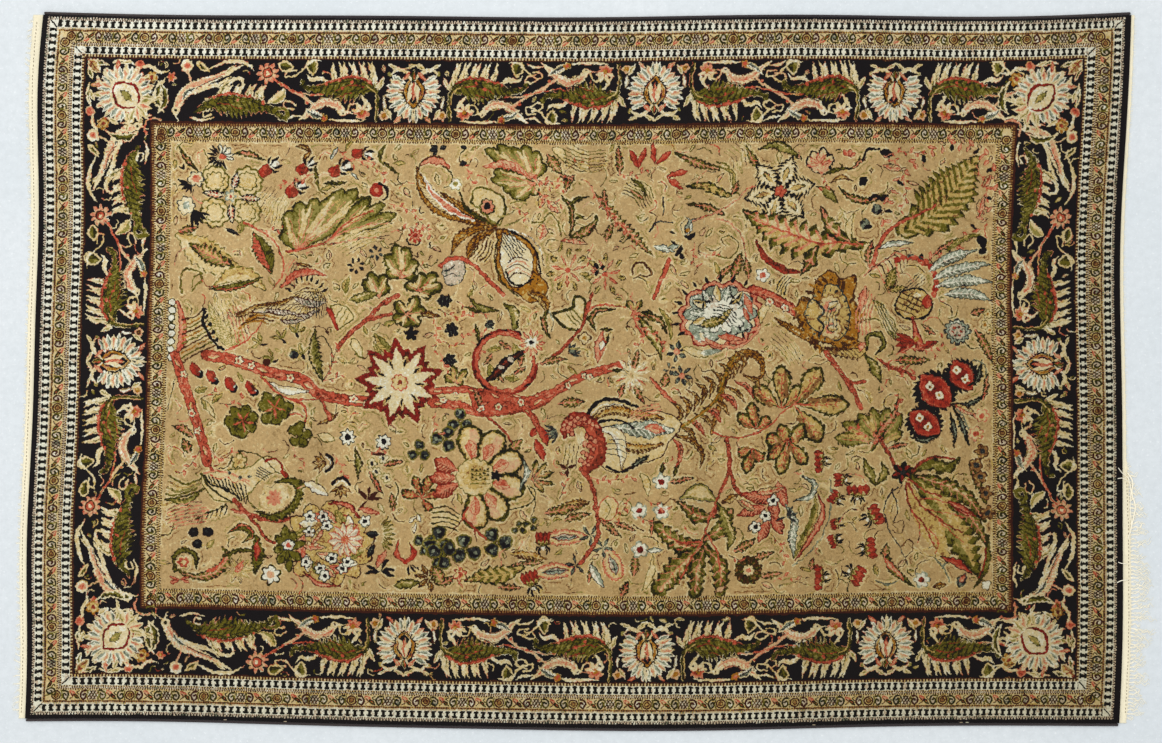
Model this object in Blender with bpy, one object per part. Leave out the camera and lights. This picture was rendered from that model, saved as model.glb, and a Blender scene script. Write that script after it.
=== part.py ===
# A hand-knotted Persian rug with short fringes, lying flat on the floor. Metres, +Z up.
# X runs along the rug's length and Y across it. The origin is the middle of the whole
# rug's footprint, at floor level. Sizes below are in millimetres, as a weaver would give them.
#
# Solids: the knotted body, two overcast side cords (selvedges), and at each end one flat
# woven strip (the kilim) whose warp ends stand out of it as the fringe.

import bpy
import bmesh
import numpy as np

MM = 0.001

# Corners of the rug seen from above, cords included, from the middle of the body.
CORNER_FAR_LEFT = (-775.5, 521.5)
CORNER_FAR_RIGHT = (803.0, 521.0)
CORNER_NEAR_LEFT = (-802.5, -508.5)
CORNER_NEAR_RIGHT = (785.0, -515.5)

# How each edge strays from the straight line between its corners: the size in millimetres of
# one, two, three ... half waves along it. Sides stray along Y and ends along X.
SIDE_WAVES = {
    "far": (-7.4, -0.1, -1.3, 1.0, -1.7, 0.2),
    "near": (-7.4, 0.4, 2.8, -0.3, 0.5, 0.5),
}
END_WAVES = {
    "left": (-1.7, 0.4, -2.0, -1.8, -0.5, -1.5),
    "right": (-5.3, -4.8, 1.2, 0.6, 1.1, -0.1),
}

BODY_THICKNESS = 5.0
CORD_WIDTH = 4.05
CORD_HEIGHT = 4.4
STRIP_THICKNESS = 1.5
SEAM_GAP = 0.3

# The pile's rim, from the floor up: height, and how far it lies inside the outline.
RIM_ROWS = ((0.0, 0.0), (3.4, 0.0), (4.5, 0.4), (BODY_THICKNESS, 1.5))
RIM_SHARP_ANGLE = 0.5

OUTWARD = {"left": -1.0, "right": 1.0}
EDGE_STEPS = 40
CORD_STEPS = 48
CORD_SIDES = 8
CORD_SQUARENESS = 0.62

# Each end, from the far corner to the near one: share of the end's length, the woven
# strip's width and the fringe's length there. A fringe under SHORTEST_STRAND is worn away.
END_COLUMNS = ("share", "strip_width", "fringe_length")
LEFT_END_ROWS = (
    (0.0, 14.5, 9.0),
    (0.12, 13.0, 7.0),
    (0.3, 11.5, 5.0),
    (0.6, 11.0, 4.6),
    (0.85, 10.5, 6.5),
    (0.95, 10.0, 10.0),
    (1.0, 10.0, 13.0),
)
RIGHT_END_ROWS = (
    (0.0, 5.0, 0.0),
    (0.3, 5.5, 0.0),
    (0.62, 6.0, 0.0),
    (0.66, 9.0, 14.0),
    (0.72, 12.0, 20.0),
    (0.85, 12.5, 29.0),
    (0.95, 12.5, 27.0),
    (1.0, 11.0, 19.0),
)
SHORTEST_STRAND = 4.0
STRAND_PITCH = {"left": 9.6, "right": 2.9}
PITCH_JITTER = 0.08
STRAND_ROOT_WIDTH = 1.25
STRAND_TIP_WIDTH = 0.7
STRAND_LENGTH_SPREAD = 0.35
STRAND_SEGMENTS = {"left": 2, "right": 3}
# Neighbouring strands lean and curl alike, so none crosses the next. The lean is the one that
# a strand has at the usual reach of its end's fringe.
USUAL_REACH = {"left": 8.0, "right": 26.0}
LEAN_MM = 5.0
LEAN_WAVELENGTH = 96.0
LEAN_POWER = 1.5
CURL_MM = 0.9
CURL_WAVELENGTH = 21.0
CURL_PHASE = 1.0
PLAIN_STATIONS = 36
FRINGE_SEED = 11

COLOURS = {
    "pile": (0.42, 0.31, 0.19, 1.0),
    "overcast_wool": (0.018, 0.014, 0.03, 1.0),
    "cotton_warp": (0.72, 0.63, 0.45, 1.0),
}
ROUGHNESS = {"pile": 0.85, "overcast_wool": 0.8, "cotton_warp": 0.9}


def clear_scene():
    for old in list(bpy.data.objects):
        bpy.data.objects.remove(old)


def make_material(name):
    material = bpy.data.materials.new(name)
    material.use_nodes = True
    shader = material.node_tree.nodes["Principled BSDF"]
    shader.inputs["Base Color"].default_value = COLOURS[name]
    shader.inputs["Roughness"].default_value = ROUGHNESS[name]
    shader.inputs["Metallic"].default_value = 0.0
    return material


def stray(waves, share):
    """Half sine waves that all vanish at the edge's two corners."""
    return sum(size * np.sin(np.pi * (k + 1) * share) for k, size in enumerate(waves))


def blend_edges(across, along):
    """Coons patch: a point of the rug from its shares of the length (across, from the left)
    and of the width (along, from the far side), worked out from the four edge curves."""
    u = np.asarray(across, float)[..., None]
    v = np.asarray(along, float)[..., None]
    far_left, far_right = np.array(CORNER_FAR_LEFT), np.array(CORNER_FAR_RIGHT)
    near_left, near_right = np.array(CORNER_NEAR_LEFT), np.array(CORNER_NEAR_RIGHT)
    in_x, in_y = np.array((1.0, 0.0)), np.array((0.0, 1.0))
    far = far_left + (far_right - far_left) * u + stray(SIDE_WAVES["far"], u) * in_y
    near = near_left + (near_right - near_left) * u + stray(SIDE_WAVES["near"], u) * in_y
    left = far_left + (near_left - far_left) * v + stray(END_WAVES["left"], v) * in_x
    right = far_right + (near_right - far_right) * v + stray(END_WAVES["right"], v) * in_x
    corners = (1 - v) * ((1 - u) * far_left + u * far_right) + v * ((1 - u) * near_left + u * near_right)
    return (1 - v) * far + v * near + (1 - u) * left + u * right - corners


def rug_length():
    return (np.subtract(CORNER_FAR_RIGHT, CORNER_FAR_LEFT))[0]


def rug_width():
    return (np.subtract(CORNER_FAR_LEFT, CORNER_NEAR_LEFT))[1]


def body_outline(inset):
    """The body's outline, seen from above and anticlockwise, this far inside its edges."""
    end = inset / rug_length()
    side = (CORD_WIDTH + SEAM_GAP + inset) / rug_width()
    run = np.linspace(0.0, 1.0, EDGE_STEPS + 1)[:-1]
    u_run, v_run = end + (1 - 2 * end) * run, side + (1 - 2 * side) * run
    near = blend_edges(u_run, np.full(EDGE_STEPS, 1 - side))
    right = blend_edges(np.full(EDGE_STEPS, 1 - end), 1 - v_run)
    far = blend_edges(1 - u_run, np.full(EDGE_STEPS, side))
    left = blend_edges(np.full(EDGE_STEPS, end), v_run)
    return np.concatenate([near, right, far, left])


def finish_object(name, mesh_builder, material):
    """Puts a bmesh, drawn in millimetres, into a named object in metres."""
    bmesh.ops.recalc_face_normals(mesh_builder, faces=mesh_builder.faces)
    bmesh.ops.scale(mesh_builder, vec=(MM, MM, MM), verts=mesh_builder.verts)
    mesh = bpy.data.meshes.new(name)
    mesh_builder.to_mesh(mesh)
    mesh_builder.free()
    mesh.materials.append(material)
    piece = bpy.data.objects.new(name, mesh)
    bpy.context.scene.collection.objects.link(piece)
    return piece


def join_rings(builder, rings, closed_ends=True):
    """Skins rings of vertices, each as long as the next, and caps the first and last."""
    for low, high in zip(rings, rings[1:]):
        for k in range(len(low)):
            after = (k + 1) % len(low)
            builder.faces.new((low[k], low[after], high[after], high[k]))
    if closed_ends:
        builder.faces.new(rings[0])
        builder.faces.new(rings[-1])


def make_body(material):
    """The knotted body: the outline lifted to the pile's height, with a worn, rounded rim."""
    builder = bmesh.new()
    rings = []
    for height, inset in RIM_ROWS:
        outline = body_outline(inset)
        rings.append([builder.verts.new((x, y, height)) for x, y in outline])
    join_rings(builder, rings)
    body = finish_object("rug_body", builder, material)
    body.data.shade_smooth()
    body.data.set_sharp_from_angle(angle=RIM_SHARP_ANGLE)
    return body


def cord_section():
    """A wrapped cord's section: a superellipse on the floor, sideways and upwards."""
    turn = 2 * np.pi * (np.arange(CORD_SIDES) + 0.5) / CORD_SIDES
    power = CORD_SQUARENESS
    sideways = np.sign(np.cos(turn)) * np.abs(np.cos(turn)) ** power
    upwards = np.sign(np.sin(turn)) * np.abs(np.sin(turn)) ** power
    sideways = sideways / np.abs(sideways).max() * CORD_WIDTH / 2
    upwards = (upwards / np.abs(upwards).max() + 1) * CORD_HEIGHT / 2
    return sideways, upwards


def make_selvedge(name, along, material):
    """One overcast side cord, carried along the share of the width at which it lies."""
    line = blend_edges(np.linspace(0.0, 1.0, CORD_STEPS + 1), np.full(CORD_STEPS + 1, along))
    heading = np.gradient(line, axis=0)
    heading /= np.linalg.norm(heading, axis=1)[:, None]
    sideways, upwards = cord_section()
    builder = bmesh.new()
    rings = []
    for (x, y), (dx, dy) in zip(line, heading):
        ring = [(x - dy * side, y + dx * side, up) for side, up in zip(sideways, upwards)]
        rings.append([builder.verts.new(point) for point in ring])
    join_rings(builder, rings)
    cord = finish_object(name, builder, material)
    cord.data.shade_smooth()
    return cord


def read_column(rows, columns, name, share):
    table = np.array(rows)
    return np.interp(share, table[:, columns.index("share")], table[:, columns.index(name)])


def strand_shift(place, reach):
    """How far a strand stands aside of its root, from the root's place along the end and the
    distance from it as a share of the usual reach."""
    lean = LEAN_MM * reach**LEAN_POWER * np.sin(2 * np.pi * place / LEAN_WAVELENGTH)
    curl = CURL_MM * np.sin(np.pi * reach) * np.sin(2 * np.pi * place / CURL_WAVELENGTH + CURL_PHASE)
    return lean + curl


def end_stations(side, rows, length):
    """Places along an end where the strip's outline has points, with a strand's length at
    the point where its root begins, and 0 at all others."""
    random = np.random.default_rng(FRINGE_SEED + len(side))
    pitch = STRAND_PITCH[side]
    centres = np.arange(pitch, length - pitch, pitch)
    centres = centres + random.uniform(-PITCH_JITTER, PITCH_JITTER, len(centres)) * pitch
    wanted = read_column(rows, END_COLUMNS, "fringe_length", centres / length)
    kept = wanted >= SHORTEST_STRAND
    spread = random.uniform(1 - STRAND_LENGTH_SPREAD, 1 + STRAND_LENGTH_SPREAD / 2, len(centres))
    strands = [(place, long) for place, long in zip(centres[kept], (wanted * spread)[kept])]
    stations = [(0.0, 0.0), (length, 0.0)]
    for place in np.linspace(0.0, length, PLAIN_STATIONS)[1:-1]:
        if all(abs(place - other) > pitch for other, _ in strands):
            stations.append((place, 0.0))
    for place, long in strands:
        stations.append((place - STRAND_ROOT_WIDTH / 2, long))
        stations.append((place + STRAND_ROOT_WIDTH / 2, 0.0))
    return sorted(stations)


def make_end(name, side, rows, material):
    """A woven strip with its fringe, drawn flat as quads and then given its thickness. The
    strip starts a seam's gap outside the body, and each strand grows out of its outer edge."""
    outward = OUTWARD[side]
    end_share = (1 + outward) / 2
    inset = (CORD_WIDTH + SEAM_GAP) / rug_width()
    length = rug_width() - 2 * (CORD_WIDTH + SEAM_GAP)
    stations = end_stations(side, rows, length)
    place = np.array([station[0] for station in stations])
    share = place / length
    edge = blend_edges(np.full(len(place), end_share), inset + (1 - 2 * inset) * share)
    width = read_column(rows, END_COLUMNS, "strip_width", share)
    builder = bmesh.new()
    inner = [builder.verts.new((x + outward * SEAM_GAP, y, 0.0)) for x, y in edge]
    outer = [builder.verts.new((x + outward * w, y, 0.0)) for (x, y), w in zip(edge, width)]
    for k in range(len(place) - 1):
        builder.faces.new((inner[k], outer[k], outer[k + 1], inner[k + 1]))
        long = stations[k][1]
        if long:
            add_strand(builder, outer[k], outer[k + 1], long, side)
    flat = list(builder.faces)
    lifted = bmesh.ops.extrude_face_region(builder, geom=flat, use_keep_orig=True)["geom"]
    raised = [item for item in lifted if isinstance(item, bmesh.types.BMVert)]
    bmesh.ops.translate(builder, vec=(0.0, 0.0, STRIP_THICKNESS), verts=raised)
    return finish_object(name, builder, material)


def add_strand(builder, root_a, root_b, long, side):
    """A chain of quads from a strand's root on the strip to its tapered tip."""
    middle = (root_a.co + root_b.co) / 2
    before = (root_a, root_b)
    segments = STRAND_SEGMENTS[side]
    for step in range(1, segments + 1):
        share = step / segments
        half = (STRAND_ROOT_WIDTH + (STRAND_TIP_WIDTH - STRAND_ROOT_WIDTH) * share) / 2
        x = middle.x + OUTWARD[side] * long * share
        y = middle.y - strand_shift(-middle.y, long * share / USUAL_REACH[side])
        after = (builder.verts.new((x, y + half, 0.0)), builder.verts.new((x, y - half, 0.0)))
        builder.faces.new((before[0], after[0], after[1], before[1]))
        before = after


def centre_on_floor(pieces):
    """Moves the meshes so that the origin is the middle of the footprint, on the floor."""
    points = np.array([vert.co[:] for piece in pieces for vert in piece.data.vertices])
    low, high = points.min(axis=0), points.max(axis=0)
    shift = -(low + high) / 2
    for piece in pieces:
        for vert in piece.data.vertices:
            vert.co.x += shift[0]
            vert.co.y += shift[1]
            vert.co.z -= low[2]


def main():
    clear_scene()
    pile = make_material("pile")
    wool = make_material("overcast_wool")
    cotton = make_material("cotton_warp")
    half_cord = CORD_WIDTH / 2 / rug_width()
    centre_on_floor([
        make_body(pile),
        make_selvedge("selvedge_far", half_cord, wool),
        make_selvedge("selvedge_near", 1 - half_cord, wool),
        make_end("fringed_end_left", "left", LEFT_END_ROWS, cotton),
        make_end("fringed_end_right", "right", RIGHT_END_ROWS, cotton),
    ])


main()
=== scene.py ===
import bpy
import numpy as np
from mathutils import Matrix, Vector


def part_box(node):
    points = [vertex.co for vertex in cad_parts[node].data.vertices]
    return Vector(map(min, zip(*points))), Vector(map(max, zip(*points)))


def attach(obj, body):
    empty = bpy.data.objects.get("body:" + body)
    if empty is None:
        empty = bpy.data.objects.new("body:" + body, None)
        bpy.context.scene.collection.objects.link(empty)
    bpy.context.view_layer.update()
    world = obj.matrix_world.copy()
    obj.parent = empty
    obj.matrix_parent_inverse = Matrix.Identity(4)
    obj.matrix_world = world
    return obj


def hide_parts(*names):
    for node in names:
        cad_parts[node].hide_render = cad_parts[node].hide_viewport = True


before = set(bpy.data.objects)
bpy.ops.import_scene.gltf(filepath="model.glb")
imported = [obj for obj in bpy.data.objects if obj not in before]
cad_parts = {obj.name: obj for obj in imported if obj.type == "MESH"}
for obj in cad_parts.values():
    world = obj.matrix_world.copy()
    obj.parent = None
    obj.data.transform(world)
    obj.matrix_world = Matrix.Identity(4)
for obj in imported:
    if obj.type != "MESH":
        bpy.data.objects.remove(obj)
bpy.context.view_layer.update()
rng = np.random.default_rng(7)
mm = 0.001
# The pattern is charted knot by knot, as a weaver's cartoon is, and every place below is
# counted in cartoon squares from the far left corner: x to the right, y towards the near side.
cartoon = {
    "squares": (1092, 714),
    "knotsPerSquare": 2,
    "rims": 1.2,  # every motif's edge is drawn this many times its given width
}
knotCount = tuple(n * cartoon["knotsPerSquare"] for n in cartoon["squares"])

dyes = {  # wool colours by name, in sRGB as seen in daylight
    "beige": (199, 168, 119),
    "cream": (220, 198, 148),
    "ivory": (228, 214, 176),
    "white": (238, 237, 222),
    "navy": (17, 14, 20),
    "slate": (42, 44, 46),
    "grey": (122, 128, 108),
    "sky": (160, 170, 152),
    "olive": (102, 94, 22),
    "moss": (46, 42, 10),
    "sage": (148, 138, 72),
    "coral": (194, 84, 60),
    "rust": (136, 50, 32),
    "pink": (212, 138, 106),
    "blush": (218, 176, 138),
    "crimson": (126, 30, 24),
    "madder": (170, 48, 32),
    "brown": (72, 40, 18),
    "tan": (142, 98, 54),
    "ochre": (170, 112, 28),
    "straw": (202, 172, 102),
    "black": (18, 18, 15),
    "maroon": (62, 24, 16),
    "shell": (206, 188, 166),
    "honey": (170, 140, 88),
    "sand": (176, 146, 98),
}
dyeNumber = {name: number for number, name in enumerate(dyes)}
chart = np.zeros(knotCount[::-1], np.uint8)


def near(x, y, reach):
    # the chart's knots around a place, with their distances from it: x to the right, y up
    k = cartoon["knotsPerSquare"]
    rows, columns = chart.shape
    c0, c1 = int(max(0, (x - reach) * k)), int(min(columns, (x + reach) * k + 2))
    r0, r1 = int(max(0, (y - reach) * k)), int(min(rows, (y + reach) * k + 2))
    dx = (np.arange(c0, c1) + 0.5) / k - x
    dy = y - (np.arange(r0, r1) + 0.5) / k
    return chart[r0:max(r0, r1), c0:max(c0, c1)], dx[None, :], dy[:, None]


def turned(dx, dy, turn, flip=1):
    # along and across a direction, degrees anticlockwise from the right
    c, s = np.cos(np.radians(turn)), np.sin(np.radians(turn))
    return dx * c + dy * s, (dy * c - dx * s) * flip


def dye(knots, mask, name):
    if name:
        knots[mask] = dyeNumber[name]


leafLooks = {}


def addLook(name, colours, teeth=0, rim=1.2, spacing=4, bandWidth=2, comb=0.24, blunt=0.85):
    # the colours of a leaf's two halves, its edge, its veins and the band inside the edge, a
    # dash for none; teeth is how deep the lobes cut and spacing how long they are
    parts = dict(zip(("fill", "shade", "edge", "vein", "band"), colours.split() + ["-"] * 2))
    leafLooks[name] = {part: None if tint == "-" else tint for part, tint in parts.items()}
    leafLooks[name].update(teeth=teeth, rim=rim, spacing=spacing, bandWidth=bandWidth, comb=comb, blunt=blunt)


addLook("olive", "olive sage moss pink", 0.25, 1.2, 4.5)
addLook("moss", "olive olive moss straw", 0.35)
addLook("oak", "cream straw olive pink", 0.4, 1.5, 6)
addLook("sprig", "straw sage olive olive", 0.15, 0.8)
addLook("outline", "cream cream olive", 0, 0.9)
addLook("coral", "coral pink rust pink", 0.2, 0.8)
addLook("rose", "pink blush coral coral", 0.1, 0.8)
addLook("half", "coral olive moss moss", 0.2, 1.2, 4.5)
addLook("gold", "ochre straw brown brown", 0.3)
addLook("navy", "navy navy navy")
addLook("slate", "sky white slate", 0, 0.9)
addLook("eye", "pink crimson navy ivory", 0, 1.6)
addLook("ivory", "ivory ivory ivory")
addLook("ivoryEdged", "ivory white maroon", 0, 0.7)
addLook("pinkWhite", "pink pink white coral")
addLook("blue", "sky sky slate white", 0.2, 0.8, 3)
addLook("madder", "madder coral crimson", 0, 0.7)
addLook("frond", "ivory straw ivory olive", 0, 1)


for name in dyes:
    # a plain dye serves as a look too
    if name not in leafLooks:
        addLook(name, " ".join([name] * 3))


def leaf(x, y, length, width, turn, look, bend=0.0, flip=1, widest=0.45):
    # a leaf about its middle: half width = sine arch over the length, notched by a saw of
    # teeth, its midrib bowed sideways by a parabola; rim, two tones, then midrib and veins
    own = leafLooks[look]
    knots, dx, dy = near(x, y, length / 2 + width / 2 + abs(bend))
    along, across = turned(dx, dy, turn, flip)
    share = np.clip(along / length + 0.5, 0, 1)
    across = across - bend * (1 - (2 * share - 1) ** 2)
    side = np.abs(across)
    arch = np.sin(np.pi * share ** (np.log(0.5) / np.log(widest))) ** own["blunt"]
    teeth = own["teeth"] * ((share * length / own["spacing"] + 0.13 * np.sign(across)) % 1.0)
    half = width / 2 * arch * (1 - teeth)
    inside = (np.abs(along) < length / 2) & (side < half)
    dye(knots, inside & (across >= 0), own["fill"])
    dye(knots, inside & (across < 0), own["shade"])
    rim = own["rim"] * cartoon["rims"]
    deep = np.minimum(half - side, (length / 2 - np.abs(along)) / 1.2)
    dye(knots, inside & (deep < rim + own["bandWidth"]), own["band"])
    dye(knots, inside & (deep < rim), own["edge"])
    if own["vein"] and width > 6:
        rib = (side < 0.45 + 0.02 * width * (1 - share)) & (share < 0.86)
        comb = ((along - side * 0.9) / (own["spacing"] * 0.95)) % 1.0 < own["comb"]
        dye(knots, inside & (rib | (comb & (side < half * 0.72) & (share < 0.8))), own["vein"])


def rosette(x, y, radius, petals, rings, turn=0.0, squash=1.0):
    # rings from the outside in: share of the radius, dye, and how deep its petals are cut;
    # each ring's edge = radius * share * (1 - depth * (1 - |cos(petals * angle / 2)|))
    knots, dx, dy = near(x, y, radius + 1)
    along, across = turned(dx, dy, turn)
    across = across / squash
    far = np.hypot(along, across)
    swing = np.abs(np.cos(petals * np.arctan2(across, along) / 2))
    for share, name, depth in rings:
        dye(knots, far < radius * share * (1 - depth * (1 - swing)), name)


def onArc(x, y, turn, wide, tall=None):
    # the place on a circle or an ellipse round another, at an angle in degrees
    a = np.radians(turn)
    return x + wide * np.cos(a), y - (wide if tall is None else tall) * np.sin(a)


def claws(x, y, size, turn, spread, count, name, bend=0.0):
    # fingers fanned over an angle, each a thin leaf that starts at the place given
    for k in range(count):
        angle = turn + spread * ((k + 0.5) / count - 0.5)
        reach = size * (0.9 + 0.1 * np.cos(np.pi * (k - (count - 1) / 2) / count))
        curl = bend * np.sign((count - 1) / 2 - k)
        leaf(*onArc(x, y, angle, reach * 0.5), reach, 0.8 + size * 0.16, angle, name, bend=curl, widest=0.6)


def throughPoints(points, step=0.35):
    # a smooth line through places: Catmull-Rom, each span sampled evenly
    p = np.reshape(points, (-1, 2)).astype(float)
    p = np.vstack([2 * p[0] - p[1], p, 2 * p[-1] - p[-2]])
    spans = []
    for a, b, c, d in zip(p, p[1:], p[2:], p[3:]):
        t = np.linspace(0, 1, max(3, int(np.hypot(*(c - b)) / step)), endpoint=False)[:, None]
        spans.append(0.5 * (2 * b + (c - a) * t + (2 * a - 5 * b + 4 * c - d) * t**2
            + (3 * b - a - 3 * c + d) * t**3))
    return np.vstack(spans + [p[-2:-1]])


def stroke(points, width, name, taper=0.0):
    # a line of yarn colour along a smooth route; taper thins it towards its end
    line = throughPoints(points)
    share = np.linspace(0, 1, len(line))
    half = width / 2 * (1 - taper * share)
    for k in range(0, len(line), 24):
        bit, thick = line[k:k + 25], half[k:k + 25]
        middle = bit.mean(axis=0)
        reach = np.abs(bit - middle).max() + thick.max() + 1
        knots, dx, dy = near(*middle, reach)
        bx, by = bit[:, 0] - middle[0], middle[1] - bit[:, 1]
        gap = np.hypot(dx[..., None] - bx, dy[..., None] - by) - thick
        dye(knots, gap.min(axis=-1) < 0, name)
    return line


def ribbon(points, look, left, right=None):
    # a leaf along a curved midrib: a knot takes the run and side of the nearest place on the
    # line; each edge lies at the eased width less a saw of teeth that lean forwards
    own, right = leafLooks[look], right or left
    line = throughPoints(points, 0.8)
    steps = np.hypot(*np.diff(line, axis=0).T)
    run = np.concatenate([[0], np.cumsum(steps)])
    heading = np.gradient(line, axis=0)
    heading /= np.hypot(*heading.T)[:, None] + 1e-9
    middle = (line.min(axis=0) + line.max(axis=0)) / 2
    knots, dx, dy = near(*middle, np.abs(line - middle).max() + max(max(left), max(right)))
    best = np.full(knots.shape, 1e9, np.float32)
    place, across = np.zeros_like(best), np.zeros_like(best)
    for (x, y), (hx, hy), r in zip(line, heading, run):
        ox, oy = dx - (x - middle[0]), dy - (middle[1] - y)
        far = ox**2 + oy**2
        closer = far < best
        best = np.where(closer, far, best)
        place = np.where(closer, r, place)
        across = np.where(closer, hx * oy + hy * ox, across)
    side = np.sqrt(best)
    mark = np.linspace(0, run[-1], len(left))
    width = np.where(across > 0, np.interp(place, mark, left), np.interp(place, mark, right))
    spacing = own["spacing"]
    tooth = ((place - 0.8 * side) / spacing + 0.4 * (across > 0)) % 1.0
    half = width * (1 - own["teeth"] * tooth)
    inside = side < half
    dye(knots, inside & (across >= 0), own["fill"])
    dye(knots, inside & (across < 0), own["shade"])
    rim = own["rim"] * cartoon["rims"]
    dye(knots, inside & (half - side < rim + own["bandWidth"]), own["band"])
    if own["vein"]:
        comb = ((place - side * 0.9) / spacing) % 1.0 < own["comb"]
        dye(knots, inside & comb & (side < half * 0.8) & (width > 3), own["vein"])
    dye(knots, inside & (half - side < rim), own["edge"])
    if own["vein"]:
        dye(knots, inside & (side < 0.6) & (width > 3), own["vein"])


def shape(points, name, rim=None, rimWidth=1.0):
    # a closed smooth outline filled by even-odd crossings, then edged
    p = np.reshape(points, (-1, 2)).astype(float)
    ring = throughPoints(np.vstack([p, p[:1]]), 0.8)
    middle = (ring.max(axis=0) + ring.min(axis=0)) / 2
    knots, dx, dy = near(*middle, np.abs(ring - middle).max() + 1)
    inside = np.zeros(knots.shape, bool)
    x, y = ring[:, 0] - middle[0], middle[1] - ring[:, 1]
    for k in range(len(x) - 1):
        crosses = (y[k] > dy) != (y[k + 1] > dy)
        slope = (x[k + 1] - x[k]) / (y[k + 1] - y[k] + 1e-12)
        inside ^= crosses & (dx < x[k] + (dy - y[k]) * slope)
    dye(knots, inside, name)
    if rim:
        stroke(np.vstack([p, p[:1]]), rimWidth, rim)


def leaves(look, *rows):
    # rows of x, y, length, width, turn and, where the midrib bows, by how much
    for row in rows:
        leaf(*row[:5], look, *row[5:])


def lines(width, name, *routes):
    # strokes of one yarn, each route its places in turn
    for route in routes:
        stroke(route, width, name, 0.3)


def disc(x, y, radius, name):
    knots, dx, dy = near(x, y, radius + 1)
    dye(knots, dx**2 + dy**2 < radius**2, name)


def dots(radius, name, *places):
    for x, y in places:
        disc(x, y, radius, name)
# Borders. A band's place is its distance in from the rug's edge on the far side; the other
# sides were woven a little wider, by the squares given here for three of those distances.
bands = {
    "stations": (5, 43, 110),
    "wider": {"far": (0, 0, 0), "near": (2.2, 3.5, 7), "left": (0.3, 1.9, 5.3), "right": (1.3, 1.2, 2)},
    "lines": [  # from, to, ground dye, dotted dye or None, length of a dot
        (0, 4.2, "navy", None, 2),
        (4.2, 5.4, "shell", "navy", 3),
        (5.4, 6.8, "shell", "maroon", 2.2),
        (6.8, 14.4, "white", None, 2),
        (14.4, 15.9, "shell", "cream", 2.6),
        (15.9, 17.8, "tan", "brown", 2.4),
        (17.8, 28, "cream", None, 2),
        (28, 29.6, "brown", "cream", 2.4),
        (29.6, 31, "shell", "brown", 2.2),
        (31, 32.6, "brown", "cream", 2.6),
        (32.6, 40.6, "white", None, 2),
        (40.6, 42.8, "brown", "cream", 3.2),
        (42.8, 43.9, "maroon", "brown", 2.4),
        (43.9, 107.2, "navy", None, 2),
        (107.2, 109, "maroon", None, 2),
        (109, 111.4, "tan", "maroon", 2.6),
        (111.4, 112.8, "brown", "cream", 2.4),
        (112.8, 122.6, "cream", None, 2),
        (122.6, 124.2, "brown", "cream", 2.4),
        (124.2, 125.6, "straw", "brown", 2.2),
        (125.6, 127, "brown", "cream", 2.6),
    ],
    "spools": [(7.2, 14.2), (33, 40.2)],  # the two reciprocal black and white bands
    "spoolPitch": (7.65, 6.15, 7.05),  # at the left and right ends of the long sides; the ends
    "field": 127,
}


def alongBand():
    # every knot's side, its distance in from that side and its place along it, in squares
    w, h = cartoon["squares"]
    k = cartoon["knotsPerSquare"]
    x = (np.arange(chart.shape[1])[None, :] + 0.5) / k
    y = (np.arange(chart.shape[0])[:, None] + 0.5) / k
    inward = []
    for side, depth in (("far", y + 0 * x), ("near", h - y + 0 * x), ("left", x + 0 * y),
            ("right", w - x + 0 * y)):
        stations = np.array(bands["stations"], float)
        wider = np.array(bands["wider"][side], float)
        woven = np.concatenate([[0], stations + wider, [400 + wider[-1]]])
        plain = np.concatenate([[0], stations, [400]])
        inward.append(np.interp(depth, woven, plain))
    inward = np.stack(inward)
    side = inward.argmin(axis=0)
    return side, inward.min(axis=0), np.where(side < 2, x, y), inward


def spoolTurns(side, along):
    # how many black and white repeats have passed: the pitch tightens along the long sides
    first, last, ends = bands["spoolPitch"]
    w = cartoon["squares"][0]
    long = w / (last - first) * np.log(1 + (last - first) * along / w / first)
    return np.where(side < 2, long, along / ends)


def weaveBands():
    side, depth, along, inward = alongBand()
    chart[:] = dyeNumber["beige"]
    for start, stop, ground, dots, pitch in bands["lines"]:
        band = (depth >= start) & (depth < stop)
        dye(chart, band, ground)
        if dots:
            dye(chart, band & (((along + side) / pitch) % 1 < 0.42), dots)
    for start, stop in bands["spools"]:
        band = (depth >= start) & (depth < stop)
        waist = np.abs((depth - start) / (stop - start) - 0.5) * 2
        halfDark = 0.21 + 0.15 * (waist > 0.42) - 0.09 * (waist > 0.9)
        phase = np.abs((spoolTurns(side, along) + 0.25) % 1 - 0.5)
        dye(chart, band & (phase < halfDark), "black")
        ordered = np.sort(inward, axis=0)
        mitre = band & (ordered[1] < stop + 0.8)
        dye(chart, mitre, "white")
        dye(chart, mitre & (np.abs(ordered[1] - ordered[0]) < 1), "black")
    return side, depth, along


guardOrder = ("ring", "curl", "blossom", "curl", "lattice", "curl", "blossom", "curl")
guardPitch = {"ring": 10.6, "curl": 8.2, "blossom": 10, "lattice": 10.4}


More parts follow.
